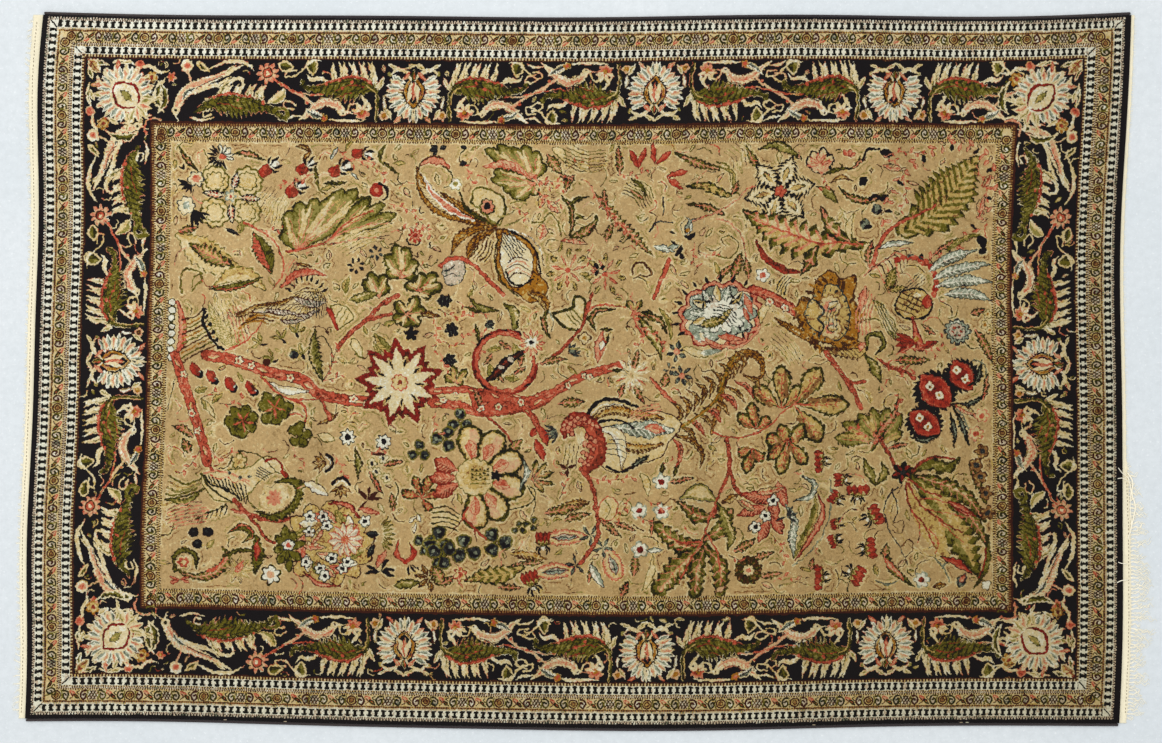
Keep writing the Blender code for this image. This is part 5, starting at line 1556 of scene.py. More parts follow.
def nearRightField():
    limb((696, 424, 699, 442, 700, 456, 706, 472, 712, 480), 4.2)
    limb((699, 454, 694, 468, 688, 484, 684, 500), 3.2)
    maple(722, 432, (708, 440, 716, 458, 732, 446), 15)
    maple(757, 424, (738, 444, 750, 460, 776, 450), 17)
    ribbon((688, 488, 696, 504, 702, 520, 698, 534), "darkPale", (2, 7, 6, 1), (2, 8, 8, 1))
    leaves("gold", (701, 483, 20, 9, 30))
    leaves("dark", (716, 530, 26, 12, 30), (733, 541, 26, 9, 20), (742, 560, 24, 8, 8),
        (783, 550, 14, 8, 80))
    for place in ((752, 480, 30, 12, -70), (728, 482, 36, 13, 170), (722, 496, 32, 12, 196),
            (734, 516, 26, 12, 250), (748, 510, 24, 12, -60), (744, 492, 26, 12, 100)):
        leaf(*place[:5], "redPetal")
    leaves("rusty", (728, 508, 28, 9, 216), (740, 476, 30, 8, 8), (716, 490, 24, 8, 150))
    bloom(6.6, 5, "slate", "white", "navy", (743, 486), (736, 501), (726, 512))
    ribbon((772, 462, 784, 470, 780, 482, 764, 486), "skyPlume", (1, 4, 4, 1), (1, 3, 3, 1))
    ribbon((756, 490, 764, 506, 762, 524, 764, 544), "skyPlume", (1, 6, 6, 1), (1, 4, 4, 1))
    ribbon((786, 482, 786, 500, 776, 522, 764, 544), "sprig", (1, 3, 3, 1), (1, 5, 5, 1))
    ribbon((788, 480, 794, 494, 788, 514, 766, 546), "pinkLoop", (1, 3, 3, 1), (1, 4, 4, 1))
    lines(1.6, "grey", (800, 466, 802, 490, 796, 514, 786, 532, 764, 552))
    lines(2.6, "olive", (784, 492, 780, 508, 772, 524))
    petals(757, 502, 12, 3.6, (20, 60, 330, 200), "slateDark", 0)
    for place in ((790, 447, 13, 24, 180), (810, 466, 14, 13, 180), (805, 483, 14, 14, 150),
            (828, 478, 16, 24, 90), (845, 502, 18, 22, 30), (806, 510, 12, 12, 200), (804, 527, 12, 14, 200),
            (840, 535, 16, 22, 10), (827, 562, 18, 22, -30), (790, 564, 13, 26, 180)):
        burr(*place)
    ribbon((846, 472, 838, 456, 834, 444), "darkPale", (1, 7, 1))
    ribbon((846, 472, 854, 460, 852, 448), "darkPale", (1, 5, 1), (1, 6, 1))
    leaves("dark", (868, 432, 22, 7, 10))
    limb((850, 426, 860, 442, 866, 456), 4.2)
    petals(873, 459, 12, 7, ring(6, 20), "black", 1)
    petals(873, 459, 10, 3, ring(5, 50), "crimson", 1)
    dots(2.4, "slate", (873, 459))
    ribbon((882, 462, 904, 486, 922, 514, 936, 540, 950, 566), "grand", (4, 22, 26, 20, 2),
        (4, 14, 20, 14, 2))
    ribbon((884, 462, 910, 470, 936, 484, 956, 508), "lobedWide", (2, 9, 10, 2))
    ribbon((920, 494, 942, 506, 958, 534), "lobedWide", (2, 9, 2))
    ribbon((880, 458, 900, 450, 918, 452, 929, 444), "grand", (2, 7, 5, 1), (2, 9, 12, 2))
    ribbon((876, 468, 880, 496, 894, 524, 916, 548), "beigeGround", (4, 20, 26, 6), (3, 22, 16, 2))
    lines(3.4, "rust", (882, 458, 892, 448, 906, 444, 924, 446))
    lines(2.2, "rust", (876, 470, 880, 494, 896, 514, 906, 536), (878, 470, 890, 490, 912, 508, 932, 520),
        (878, 466, 896, 478, 912, 484))
    lines(1.3, "coral", (882, 496, 890, 516, 888, 530), (896, 496, 916, 500, 936, 504),
        (890, 486, 904, 486, 920, 490), (900, 516, 908, 528, 906, 544), (906, 504, 918, 516, 934, 530))
    lines(1.6, "slate", (868, 474, 858, 484, 855, 498, 859, 516, 870, 534, 878, 552),
        (862, 476, 868, 496, 864, 508))
    lines(1.4, "brown", (864, 510, 874, 508, 872, 520, 862, 518), (872, 534, 880, 526, 884, 536, 876, 544))
    ribbon((940, 452, 948, 470, 956, 490), "dark", (2, 5, 2))
    leaves("pinkLoop", (930, 494, 30, 6, -24), (936, 500, 24, 4, -20))
    ribbon((856, 536, 862, 556, 884, 574), "spiky", (2, 7, 1), (2, 5, 1))
    leaves("rose", (862, 554, 24, 5, -50), (868, 560, 22, 4, -50))
    leaves("dark", (856, 538, 16, 12, 80))
    bloom(9, 6, "sky", "white", "rust", (892, 567))
    lines(2, "grey", (906, 546, 914, 556, 920, 570), (918, 548, 912, 556), (846, 568, 858, 572, 868, 568))
    ribbon((912, 544, 926, 550, 942, 562), "berrySlim", (1, 5, 1))
    leaves("slateDark", (932, 568, 16, 10, 60))
    leaves("coral", (933, 566, 8, 6, 60))
    leaves("gold", (910, 573, 14, 9, 10))
    ribbon((958, 524, 958, 544, 954, 560, 944, 576), "spiky", (2, 4, 4, 1), (2, 3, 3, 1))
    lines(2, "crimson", (956, 536, 954, 552, 948, 566))
    bloom(6, 4, "olive", "white", "white", (956, 573))
    bloom(8, 5, "brown", "tan", "slate", (952, 438), (950, 464), (956, 480), (946, 452), (958, 500))
    rosette(719, 555, 14, 8, ((1, "moss", 0.2), (0.96, "brown", 0.5), (0.44, "cream", 0.2),
        (0.2, "coral", 0)))
    petals(719, 555, 15, 6, ring(8, 20), "mossBrown", 5)
    leaves("rusty", (738, 570, 14, 6, -30), (692, 573, 12, 6, 20))
    pinks((700, 540, 712, 546), (744, 566, 756, 562, 770, 566), (742, 520, 752, 532, 756, 546))
    lines(1, "sage", (750, 572, 766, 568, 782, 572), (754, 566, 768, 562, 780, 564))
    lines(1.4, "brown", (806, 556, 810, 566, 806, 576), (812, 552, 812, 562))


for region in (farLeftField, farMiddleField, farRightField, trunkField, middleField, palmettesField,
        nearLeftField, nearMiddleField, middleBird, nearRightField):
    region()
# The weaver's hand. Edges stray from the cartoon, wool of one dye varies from knot to knot,
# motifs get a broken dark outline, and faint echoes of them run through the open ground.
hand = {
    "stray": ((12, 1.5), (5, 1.5), (2, 0.5)),  # cell and size of each wave of straying, in knots
    "bandStray": 0.4,  # share of it in the plain bands
    "outline": 0.1,  # noise level above which an edge is outlined: lower for more
    "echo": (3, 6, 8),  # knots from a motif: a pale halo to the first, a thin line between the others
    "sprigs": 4200,
    "clearance": 4.2,  # open ground a sprig needs around it, in squares
}


def smoothNoise(cell, seed):
    # one value a knot from -1 to 1: random at the corners of cells and eased between them
    random = np.random.default_rng(seed)
    rows, columns = chart.shape
    corners = random.uniform(-1, 1, (rows // cell + 2, columns // cell + 2)).astype(np.float32)
    r, c = np.arange(rows) / cell, np.arange(columns) / cell
    i, j = r.astype(int), c.astype(int)
    fr, fc = (r - i)[:, None], (c - j)[None, :]
    fr, fc = fr * fr * (3 - 2 * fr), fc * fc * (3 - 2 * fc)
    above = corners[i][:, j] * (1 - fc) + corners[i][:, j + 1] * fc
    below = corners[i + 1][:, j] * (1 - fc) + corners[i + 1][:, j + 1] * fc
    return above * (1 - fr) + below * fr


def grown(mask):
    # the mask and the knots beside it
    out = mask.copy()
    out[1:] |= mask[:-1]
    out[:-1] |= mask[1:]
    out[:, 1:] |= mask[:, :-1]
    out[:, :-1] |= mask[:, 1:]
    return out


def scatterSprigs(area, ground, inks, count, clearance, seed):
    # small curls, leaves and buds wherever the ground is still open
    random = np.random.default_rng(seed)
    k = cartoon["knotsPerSquare"]
    reach = int(clearance * k)
    rows, columns = np.nonzero(area)
    for number, pick in enumerate(random.integers(0, len(rows), count)):
        turn, size, kind = random.uniform(0, 360), random.uniform(1.3, 2.7) * clearance, random.integers(0, 6)
        r, c = rows[pick], columns[pick]
        around = chart[r - reach:r + reach + 1, c - reach:c + reach + 1]
        crowded = (around != dyeNumber[ground]).mean() > 0.04
        if crowded or not area[r - reach, c - reach] or not area[r + reach, c + reach]:
            continue
        x, y = c / k, r / k
        cs, sn = np.cos(np.radians(turn)), -np.sin(np.radians(turn))
        ink = inks[number % len(inks)]
        if kind < 4:
            long = size * (1.0 + 0.25 * kind)
            route = [(-long / 2, 0), (0, long * 0.22), (long / 2, 0), (long * 0.62, -2)]
            stroke([(x + a * cs - b * sn, y + a * sn + b * cs) for a, b in route], 1.1, ink)
            if kind == 0:
                leaf(x + sn * 2, y - cs * 2, size * 0.8, size * 0.34, turn + 40, "outline")
        else:
            leaf(x, y, size * 1.2, size * 0.5, turn, ("pale", "outline", "rusty", "sprig")[number % 4])


def outlineMotifs(area, ground, inks, level, seed):
    # knots of the motifs that touch the ground, darkened in runs where the noise is high
    edge = area & (chart != ground) & grown(chart == ground)
    run = smoothNoise(9, seed) > level
    pick = smoothNoise(26, seed + 1)
    for k, ink in enumerate(inks):
        low, high = -1 + 2 * k / len(inks), -1 + 2 * (k + 1) / len(inks)
        dye(chart, edge & run & (pick >= low) & (pick < high), ink)


def echoMotifs(area):
    # a pale halo round the motifs and, further out, a thin broken line
    halo, start, stop = hand["echo"]
    motif = chart != dyeNumber["beige"]
    runs, faint = smoothNoise(34, 31), smoothNoise(14, 32)
    tone = smoothNoise(60, 33)
    for step in range(1, stop + 1):
        wider = grown(motif)
        rim = wider & ~motif & area
        if step <= halo:
            dye(chart, rim & (runs > -0.15), "cream")
        elif step > start:
            line = rim & (runs + 0.3 * faint > 0.3)
            dye(chart, line & (tone > -0.1), "sage")
            dye(chart, line & (tone <= -0.1), "tan")
        motif = wider


shifts = {  # what a knot of each dye may turn into, where the noise is high and where it is low
    "beige": ("cream", "sand"), "cream": ("ivory", "straw"), "ivory": ("white", "cream"),
    "olive": ("sage", "moss"), "moss": ("olive", "black"), "sage": ("straw", "olive"),
    "coral": ("pink", "rust"), "pink": ("blush", "coral"), "rust": ("coral", "maroon"),
    "straw": ("cream", "tan"), "ochre": ("straw", "brown"), "brown": ("tan", "maroon"),
    "slate": ("grey", "navy"), "sky": ("white", "grey"), "madder": ("coral", "crimson"),
    "crimson": ("madder", "maroon"), "blush": ("cream", "pink"), "tan": ("straw", "brown"),
    "white": ("white", "shell"), "shell": ("white", "grey"), "honey": ("cream", "tan"),
    "grey": ("sky", "slate"),
}


def mottle(high, low, seed):
    # clumps of knots in a neighbouring dye, from three scales of noise
    noise = 0.42 * smoothNoise(2, seed) + 0.38 * smoothNoise(5, seed + 1) + 0.3 * smoothNoise(17, seed + 2)
    before = chart.copy()
    for name, (lighter, darker) in shifts.items():
        at = before == dyeNumber[name]
        plain = 0.1 if name == "beige" else 0.0
        dye(chart, at & (noise > high + plain), lighter)
        dye(chart, at & (noise < low - plain), darker)


def strayEdges(area):
    # each knot takes the dye of a place a little way off
    rows, columns = chart.shape
    share = np.where(area, 1.0, hand["bandStray"])
    shift = [sum(size * smoothNoise(cell, seed + cell) for cell, size in hand["stray"]) * share
        for seed in (41, 61)]
    r = np.clip(np.rint(np.arange(rows)[:, None] + shift[0]), 0, rows - 1).astype(int)
    c = np.clip(np.rint(np.arange(columns)[None, :] + shift[1]), 0, columns - 1).astype(int)
    chart[:] = chart[r, c]


fieldInks = ("pink", "coral", "sage", "olive", "cream", "moss", "pink", "olive", "brown", "blush")
bandInks = ("cream", "pink", "olive", "rust", "ivory", "straw")
scatterSprigs(fieldArea, "beige", fieldInks, hand["sprigs"], hand["clearance"], 21)
scatterSprigs(mainBand, "navy", bandInks, hand["sprigs"] // 2, 3.0, 22)
outlineMotifs(fieldArea, dyeNumber["beige"], ("moss", "brown", "maroon", "navy"), hand["outline"], 51)
echoMotifs(fieldArea)
outlineMotifs(mainBand, dyeNumber["navy"], ("ivory", "cream", "pink", "straw"), -0.1, 53)
strayEdges(fieldArea | mainBand)
mottle(0.34, -0.3, 71)
# The rug's plan: corners in millimetres, and each edge's stray from its straight line, as the
# sizes of one, two, three ... half waves along it.
plan = {"farLeft": (-775.5, 521.5), "farRight": (803.0, 521.0), "nearLeft": (-802.5, -508.5),
    "nearRight": (785.0, -515.5), "farWaves": (-7.4, -0.1, -1.3, 1.0, -1.7, 0.2),
    "nearWaves": (-7.4, 0.4, 2.8, -0.3, 0.5, 0.5), "leftWaves": (-1.7, 0.4, -2.0, -1.8, -0.5, -1.5),
    "rightWaves": (-5.3, -4.8, 1.2, 0.6, 1.1, -0.1), "cordWidth": 4.05, "seamGap": 0.3}


def onPlan(u, v):
    # Coons patch: far and near edges blended by v, left and right by u, less the corners
    u, v = np.broadcast_arrays(np.asarray(u, float), np.asarray(v, float))
    u, v = u[..., None], v[..., None]
    corner = {name: np.array(plan[name]) for name in ("farLeft", "farRight", "nearLeft", "nearRight")}

    def stray(name, share, axis):
        return sum(a * np.sin(np.pi * (k + 1) * share) for k, a in enumerate(plan[name])) * np.eye(2)[axis]

    far = corner["farLeft"] + (corner["farRight"] - corner["farLeft"]) * u + stray("farWaves", u, 1)
    close = corner["nearLeft"] + (corner["nearRight"] - corner["nearLeft"]) * u + stray("nearWaves", u, 1)
    left = corner["farLeft"] + (corner["nearLeft"] - corner["farLeft"]) * v + stray("leftWaves", v, 0)
    right = corner["farRight"] + (corner["nearRight"] - corner["farRight"]) * v + stray("rightWaves", v, 0)
    bilinear = (1 - v) * ((1 - u) * corner["farLeft"] + u * corner["farRight"]) + v * ((1 - u)
        * corner["nearLeft"] + u * corner["nearRight"])
    return (1 - v) * far + v * close + (1 - u) * left + u * right - bilinear


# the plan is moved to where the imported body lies
bodyBox = np.array(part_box("rug_body"))
sideShare = (plan["cordWidth"] + plan["seamGap"]) / (plan["farLeft"][1] - plan["nearLeft"][1])
edge = np.linspace(0, 1, 41)
rim = np.concatenate([onPlan(edge, sideShare), onPlan(edge, 1 - sideShare),
    onPlan(0, sideShare + (1 - 2 * sideShare) * edge), onPlan(1, sideShare + (1 - 2 * sideShare)
    * edge)]) * mm
planShift = (bodyBox[:, :2].sum(axis=0) - rim.min(axis=0) - rim.max(axis=0)) / 2


def toFloor(points):
    # plan places in millimetres to the frame's metres
    return points * mm + planShift


def addPiece(name, points, quads, materials, faceMaterial=None, smooth=True, closing=()):
    # a new piece from whole arrays: its vertices, its quads with each one's material, and a
    # flat closing face of many corners where it has one
    mesh = bpy.data.meshes.new(name)
    mesh.vertices.add(len(points))
    mesh.vertices.foreach_set("co", np.ascontiguousarray(points, np.float32).ravel())
    corners = np.concatenate([quads.ravel(), closing]).astype(np.int32)
    mesh.loops.add(len(corners))
    mesh.loops.foreach_set("vertex_index", corners)
    starts = np.arange(0, len(corners), 4)[:len(quads) + (len(closing) > 0)].astype(np.int32)
    mesh.polygons.add(len(starts))
    mesh.polygons.foreach_set("loop_start", starts)
    mesh.update(calc_edges=True)
    mesh.validate()
    for material in materials:
        mesh.materials.append(material)
    if faceMaterial is not None:
        mesh.polygons.foreach_set("material_index", np.ascontiguousarray(faceMaterial, np.int32))
    mesh.polygons.foreach_set("use_smooth", (np.arange(len(starts)) < len(quads)) & smooth)
    piece = bpy.data.objects.new(name, mesh)
    bpy.context.scene.collection.objects.link(piece)
    return piece


def gridFaces(rows, columns):
    # quads of a grid whose points run row by row
    a = np.arange(rows - 1)[:, None] * columns + np.arange(columns - 1)[None, :]
    return np.stack([a, a + 1, a + columns + 1, a + columns], axis=-1).reshape(-1, 4)


def tubeFaces(tubes, rings, sides):
    # quads round tubes whose points run tube by tube and ring by ring, with both ends closed
    at = np.arange(tubes * rings * sides).reshape(tubes, rings, sides)
    wrap = np.roll(at, -1, axis=2)
    faces = [np.stack([at[:, :-1], wrap[:, :-1], wrap[:, 1:], at[:, 1:]], axis=-1).reshape(-1, 4)]
    for k in range(1, sides - 2, 2):
        faces += [at[:, 0, [0, k + 2, k + 1, k]], at[:, -1, [0, k, k + 1, k + 2]]]
    return np.concatenate(faces)


# Materials. Shared effects are node groups; each material keeps its own shader.
def toLinear(rgb):
    # sRGB 0-255 to the linear values that shaders use
    c = np.asarray(rgb, float) / 255
    return tuple(np.where(c <= 0.04045, c / 12.92, ((c + 0.055) / 1.055) ** 2.4)) + (1.0,)


class Wiring:
    # short hands for laying nodes in one tree
    def __init__(self, tree):
        self.tree = tree
        self.column = 0

    def node(self, kind, **settings):
        made = self.tree.nodes.new(kind)
        made.location = (self.column * 40, -(self.column % 7) * 120)
        self.column += 1
        for name, value in settings.items():
            setattr(made, name, value)
        return made

    def put(self, socket, value):
        if isinstance(value, bpy.types.NodeSocket):
            self.tree.links.new(value, socket)
        elif value is not None:
            socket.default_value = value

    def math(self, operation, a, b=None, c=None):
        made = self.node("ShaderNodeMath", operation=operation)
        for socket, value in zip(made.inputs, (a, b, c)):
            self.put(socket, value)
        return made.outputs[0]

    def plus(self, a, b):
        return self.math("ADD", a, b)

    def minus(self, a, b):
        return self.math("SUBTRACT", a, b)

    def times(self, a, b):
        return self.math("MULTIPLY", a, b)

    def over(self, a, b):
        return self.math("DIVIDE", a, b)

    def whereabouts(self):
        # the piece's own place in metres, and its x, y and z
        place = self.node("ShaderNodeTexCoord").outputs["Object"]
        parts = self.node("ShaderNodeSeparateXYZ")
        self.put(parts.inputs[0], place)
        return place, parts.outputs

    def vector(self, operation, a, b=None, scale=None):
        made = self.node("ShaderNodeVectorMath", operation=operation)
        self.put(made.inputs[0], a)
        self.put(made.inputs[1], b)
        if scale is not None:
            self.put(made.inputs["Scale"], scale)
        return made.outputs["Value" if operation in ("DOT_PRODUCT", "LENGTH") else "Vector"]

    def noise(self, place, scale, detail=2.0, roughness=0.5):
        made = self.node("ShaderNodeTexNoise")
        self.put(made.inputs["Vector"], place)
        self.put(made.inputs["Scale"], scale)
        self.put(made.inputs["Detail"], detail)
        self.put(made.inputs["Roughness"], roughness)
        return made.outputs["Fac"]

    def span(self, value, low, high, newLow, newHigh):
        made = self.node("ShaderNodeMapRange")
        for socket, item in zip(made.inputs, (value, low, high, newLow, newHigh)):
            self.put(socket, item)
        return made.outputs["Result"]

    def mix(self, factor, a, b):
        made = self.node("ShaderNodeMix", data_type="RGBA")
        self.put(made.inputs["Factor"], factor)
        self.put(made.inputs[6], a)
        self.put(made.inputs[7], b)
        return made.outputs[2]


paleGrey = (0.8, 0.8, 0.8, 1)  # what a group's colour is where nothing is joined to it


def newGroup(name, inputs, outputs):
    # a shader node group with named sockets: (name, kind, default)
    tree = bpy.data.node_groups.new(name, "ShaderNodeTree")
    for label, kind, default in inputs:
        tree.interface.new_socket(label, in_out="INPUT", socket_type=kind).default_value = default
    for label, kind in outputs:
        tree.interface.new_socket(label, in_out="OUTPUT", socket_type=kind)
    wires = Wiring(tree)
    return tree, wires, wires.node("NodeGroupInput"), wires.node("NodeGroupOutput")


chartBase = 32  # dye numbers are digits to this base
knotsPerFace = 6  # along each side of a face of the pile


def knotChartGroup():
    # reads the chart: each face holds 6 by 6 knots, four dye numbers packed to a channel as
    # base-32 digits; the place within the face picks the channel and the digit
    tree, w, _, out = newGroup("knotChart", [], [("Color", "NodeSocketColor"), ("Hump", "NodeSocketFloat")])
    cell = w.node("ShaderNodeUVMap", uv_map="cell")
    parts = w.node("ShaderNodeSeparateXYZ")
    w.put(parts.inputs[0], cell.outputs[0])
    picks, humps = [], []
    for axis in (0, 1):
        place = w.times(parts.outputs[axis], knotsPerFace)
        knot = w.math("MINIMUM", w.math("MAXIMUM", w.math("FLOOR", place), 0.0), knotsPerFace - 1)
        block = w.math("FLOOR", w.over(knot, 2.0))
        digit = w.minus(knot, w.times(block, 2.0))
        picks.append((block, digit))
        swing = w.minus(w.math("FRACT", place), 0.5)
        humps.append(w.minus(1.0, w.times(w.times(swing, swing), 4.0)))
    (blockX, digitX), (blockY, digitY) = picks
    total = None
    for row in range(3):
        held = w.node("ShaderNodeAttribute", attribute_type="GEOMETRY", attribute_name=f"chart{row}")
        chosen = w.vector("SCALE", held.outputs["Vector"], scale=w.math("COMPARE", blockY, float(row), 0.1))
        total = chosen if total is None else w.vector("ADD", total, chosen)
    oneHot = w.node("ShaderNodeCombineXYZ")
    for column in range(3):
        w.put(oneHot.inputs[column], w.math("COMPARE", blockX, float(column), 0.1))
    packed = w.vector("DOT_PRODUCT", total, oneHot.outputs[0])
    step = w.math("MULTIPLY", w.math("MULTIPLY_ADD", digitX, chartBase - 1, 1.0),
        w.math("MULTIPLY_ADD", digitY, chartBase**2 - 1, 1.0))
    shifted = w.math("FLOOR", w.over(w.plus(packed, 0.25), step))
    number = w.minus(shifted, w.times(w.math("FLOOR", w.over(shifted, chartBase)), chartBase))
    ramp = w.node("ShaderNodeValToRGB")
    ramp.color_ramp.interpolation = "CONSTANT"
    stops = ramp.color_ramp.elements
    for k, rgb in enumerate(dyes.values()):
        stop = stops[k] if k < 2 else stops.new(k / chartBase)
        stop.position = k / chartBase
        stop.color = toLinear(rgb)
    w.put(ramp.inputs[0], w.over(w.plus(number, 0.5), chartBase))
    w.put(out.inputs["Color"], ramp.outputs[0])
    w.put(out.inputs["Hump"], w.times(*humps))
    return tree


def woolGroup():
    # wool's unevenness: abrash in weft-wise bands, clumps a few millimetres wide and fine
    # fibres; all are noises of the place in metres that scale the colour up and down
    inputs = [(name, "NodeSocketFloat", 0.2) for name in ("Abrash", "Mottle", "Fibre", "Dust")]
    outputs = [("Color", "NodeSocketColor"), ("Fibre", "NodeSocketFloat")]
    tree, w, given, out = newGroup("woolTone", [("Color", "NodeSocketColor", paleGrey)] + inputs, outputs)
    place = w.node("ShaderNodeTexCoord").outputs["Object"]
    stretch = w.node("ShaderNodeMapping")
    w.put(stretch.inputs["Vector"], place)
    w.put(stretch.inputs["Scale"], (1.0, 0.06, 1.0))
    bands = w.noise(stretch.outputs[0], 14.0, 3.0, 0.6)
    streaks = w.noise(stretch.outputs[0], 420.0, 2.0, 0.6)
    clouds = w.noise(place, 3.2, 4.0, 0.55)
    clumps = w.noise(place, 240.0, 3.0, 0.65)
    fibres = w.noise(place, 1500.0, 2.0, 0.7)
    tone = w.plus(w.span(bands, 0.3, 0.7, -0.5, 0.5), w.span(streaks, 0.3, 0.7, -0.28, 0.28))
    tone = w.times(tone, given.outputs["Abrash"])
    tone = w.math("MULTIPLY_ADD", w.span(clumps, 0.3, 0.7, -0.5, 0.5), given.outputs["Mottle"], tone)
    fine = w.times(w.span(fibres, 0.3, 0.7, -0.5, 0.5), given.outputs["Fibre"])
    scale = w.plus(w.plus(tone, fine), 1.0)
    lit = w.vector("SCALE", given.outputs["Color"], scale=scale)
    dusty = w.mix(w.times(clouds, given.outputs["Dust"]), lit, toLinear((178, 160, 132)))
    w.put(out.inputs["Color"], dusty)
    w.put(out.inputs["Fibre"], fibres)
    return tree


def principled(name, roughness=0.9, sheen=0.0, sheenRoughness=0.5, specular=0.25):
    material = bpy.data.materials.new(name)
    material.use_nodes = True
    shader = material.node_tree.nodes["Principled BSDF"]
    shader.inputs["Roughness"].default_value = roughness
    shader.inputs["Sheen Weight"].default_value = sheen
    shader.inputs["Sheen Roughness"].default_value = sheenRoughness
    shader.inputs["Specular IOR Level"].default_value = specular
    return material, shader, Wiring(material.node_tree)


def useGroup(wires, tree, **values):
    made = wires.node("ShaderNodeGroup", node_tree=tree)
    for label, value in values.items():
        wires.put(made.inputs[label], value)
    return made


def bumped(wires, shader, height, distance, strength=1.0):
    made = wires.node("ShaderNodeBump")
    wires.put(made.inputs["Height"], height)
    made.inputs["Distance"].default_value = distance
    made.inputs["Strength"].default_value = strength
    wires.put(shader.inputs["Normal"], made.outputs[0])


def napShadeGroup():
    # painted shade standing in for the sheen of a leaning nap: the pile darkens towards its right and near
    # sides; the colour is scaled by one less a share of the place along x and along y, a little clouded, and
    # turns warmer
    inputs = [(name, "NodeSocketFloat", 0.2) for name in ("Along", "Across")]
    outputs = [("Color", "NodeSocketColor")]
    tree, w, given, out = newGroup("paintedNapShade", [("Color", "NodeSocketColor", paleGrey)] + inputs, outputs)
    place, parts = w.whereabouts()
    cloud = w.times(w.minus(w.noise(place, 2.2, 3.0, 0.6), 0.5), 0.35)
    along = w.plus(w.span(parts["X"], -0.8, 0.8, 0.0, 1.0), cloud)
    across = w.plus(w.span(parts["Y"], 0.52, -0.52, 0.0, 1.0), cloud)
    shadeScale = w.minus(1.0, w.times(along, given.outputs["Along"]))
    shadeScale = w.times(shadeScale, w.minus(1.0, w.times(across, given.outputs["Across"])))
    shadeTint = w.mix(w.times(w.plus(along, across), 0.5), (1.0, 1.0, 0.97, 1.0), (1.0, 0.94, 0.76, 1.0))
    napShaded = w.vector("SCALE", given.outputs["Color"], scale=shadeScale)
    w.put(out.inputs["Color"], w.vector("MULTIPLY", napShaded, shadeTint))
    return tree


knotChart = knotChartGroup()
woolTone = woolGroup()
paintedNapShade = napShadeGroup()
# along and across: how strongly the painted nap shade darkens the pile towards its right side and its near
# side
pileLook = {"abrash": 0.2, "mottle": 0.3, "fibre": 0.24, "dust": 0.02, "relief": 0.0005, "along": 0.26,
    "across": 0.2}
backLook = {"abrash": 0.12, "mottle": 0.1, "fibre": 0.1, "dust": 0.2, "relief": 0.0003, "along": 0.0,
    "across": 0.0}


def pileMaterial(name, look, roughness, sheen):
    material, shader, w = principled(name, roughness, sheen, 0.45, 0.12)
    pattern = useGroup(w, knotChart)
    tone = useGroup(w, woolTone, Color=pattern.outputs["Color"], Abrash=look["abrash"],
        Mottle=look["mottle"], Fibre=look["fibre"], Dust=look["dust"])
    # painted shade over the pile's colour, darker towards its right and near sides
    napShade = useGroup(w, paintedNapShade, Color=tone.outputs["Color"], Along=look["along"], Across=look["across"])
    w.put(shader.inputs["Base Color"], napShade.outputs["Color"])
    height = w.math("MULTIPLY_ADD", tone.outputs["Fibre"], 0.8, pattern.outputs["Hump"])
    bumped(w, shader, height, look["relief"], 0.6)
    return material


def yarnMaterial(name, rgb, look):
    # plain yarn: one colour through the wool tone, with its fibres as relief
    material, shader, w = principled(name, 0.9, 0.1, 0.5, 0.15)
    tone = useGroup(w, woolTone, Color=toLinear(rgb), Abrash=look["abrash"], Mottle=0.0,
        Fibre=look["fibre"], Dust=look["dust"])
    w.put(shader.inputs["Base Color"], tone.outputs["Color"])
    bumped(w, shader, tone.outputs["Fibre"], look["relief"], 0.5)
    return material


pileWool = pileMaterial("clippedPile", pileLook, 0.9, 0.03)
backWool = pileMaterial("knottedBack", backLook, 0.95, 0.0)
navyYarn = yarnMaterial("overcastWool", (34, 30, 40), {"abrash": 0.3, "fibre": 0.5, "dust": 0.12,
    "relief": 0.0002})
cottonYarn = yarnMaterial("cottonFringe", (250, 243, 222), {"abrash": 0.12, "fibre": 0.2, "dust": 0.03,
    "relief": 0.0001})


def toPiece(points):
    # millimetre places on the plan to metres in the frame, heights kept from the floor
    moved = np.array(points, float)
    moved[:, :2] = toFloor(moved[:, :2])
    moved[:, 2] *= mm
    return moved


# The pile: one face to every six knots by six, its rim rounded down to the foundation.
pile = {
    "columns": 364,
    "rows": 236,
    "rim": ((5.0, 1.5), (4.62, 0.55), (3.6, 0.08), (1.45, 0.0)),  # height and inset, millimetres
    "backRim": ((0.0, 0.35), (0.3, 0.0), (1.4, 0.0)),
    "swell": 0.35,  # how far the top lies unevenly
    "swellFrom": 3.5,  # the rim's rings above this height move with the top
}


def packChart():
    # dye numbers of every face's 6 by 6 knots as three vectors of base-32 numbers
    rows, columns, side = pile["rows"], pile["columns"], knotsPerFace
    spare = (chart.shape[0] - rows * side) // 2
    knots = chart[spare:spare + rows * side, :].astype(np.int64)
    block = knots.reshape(rows, side // 2, 2, columns, side // 2, 2)
    weight = np.array([[1, chartBase], [chartBase**2, chartBase**3]])
    packed = np.einsum("rbpcaq,pq->rcba", block, weight)
    return packed.reshape(rows * columns, 3, 3)


def sheetGrid(rows, columns):
    # shares of the rug's length and width at the body's grid points
    u = np.linspace(0, 1, columns + 1)
    v = sideShare + (1 - 2 * sideShare) * np.linspace(0, 1, rows + 1)
    return np.meshgrid(u, v)


def swellAt(u, v):
    # slow unevenness: a few crossed sine waves of the place
    wave = np.sin(7.1 * u + 3.0 * v) * np.sin(5.3 * v - 1.7) + 0.6 * np.sin(17.0 * u - 4.0 * v + 1.0)
    return pile["swell"] * wave / 1.6


def outlineOrder(rows, columns):
    # the grid points around its edge, one way round
    at = np.arange((rows + 1) * (columns + 1)).reshape(rows + 1, columns + 1)
    return np.concatenate([at[0, :-1], at[:-1, -1], at[-1, :0:-1], at[:0:-1, 0]])


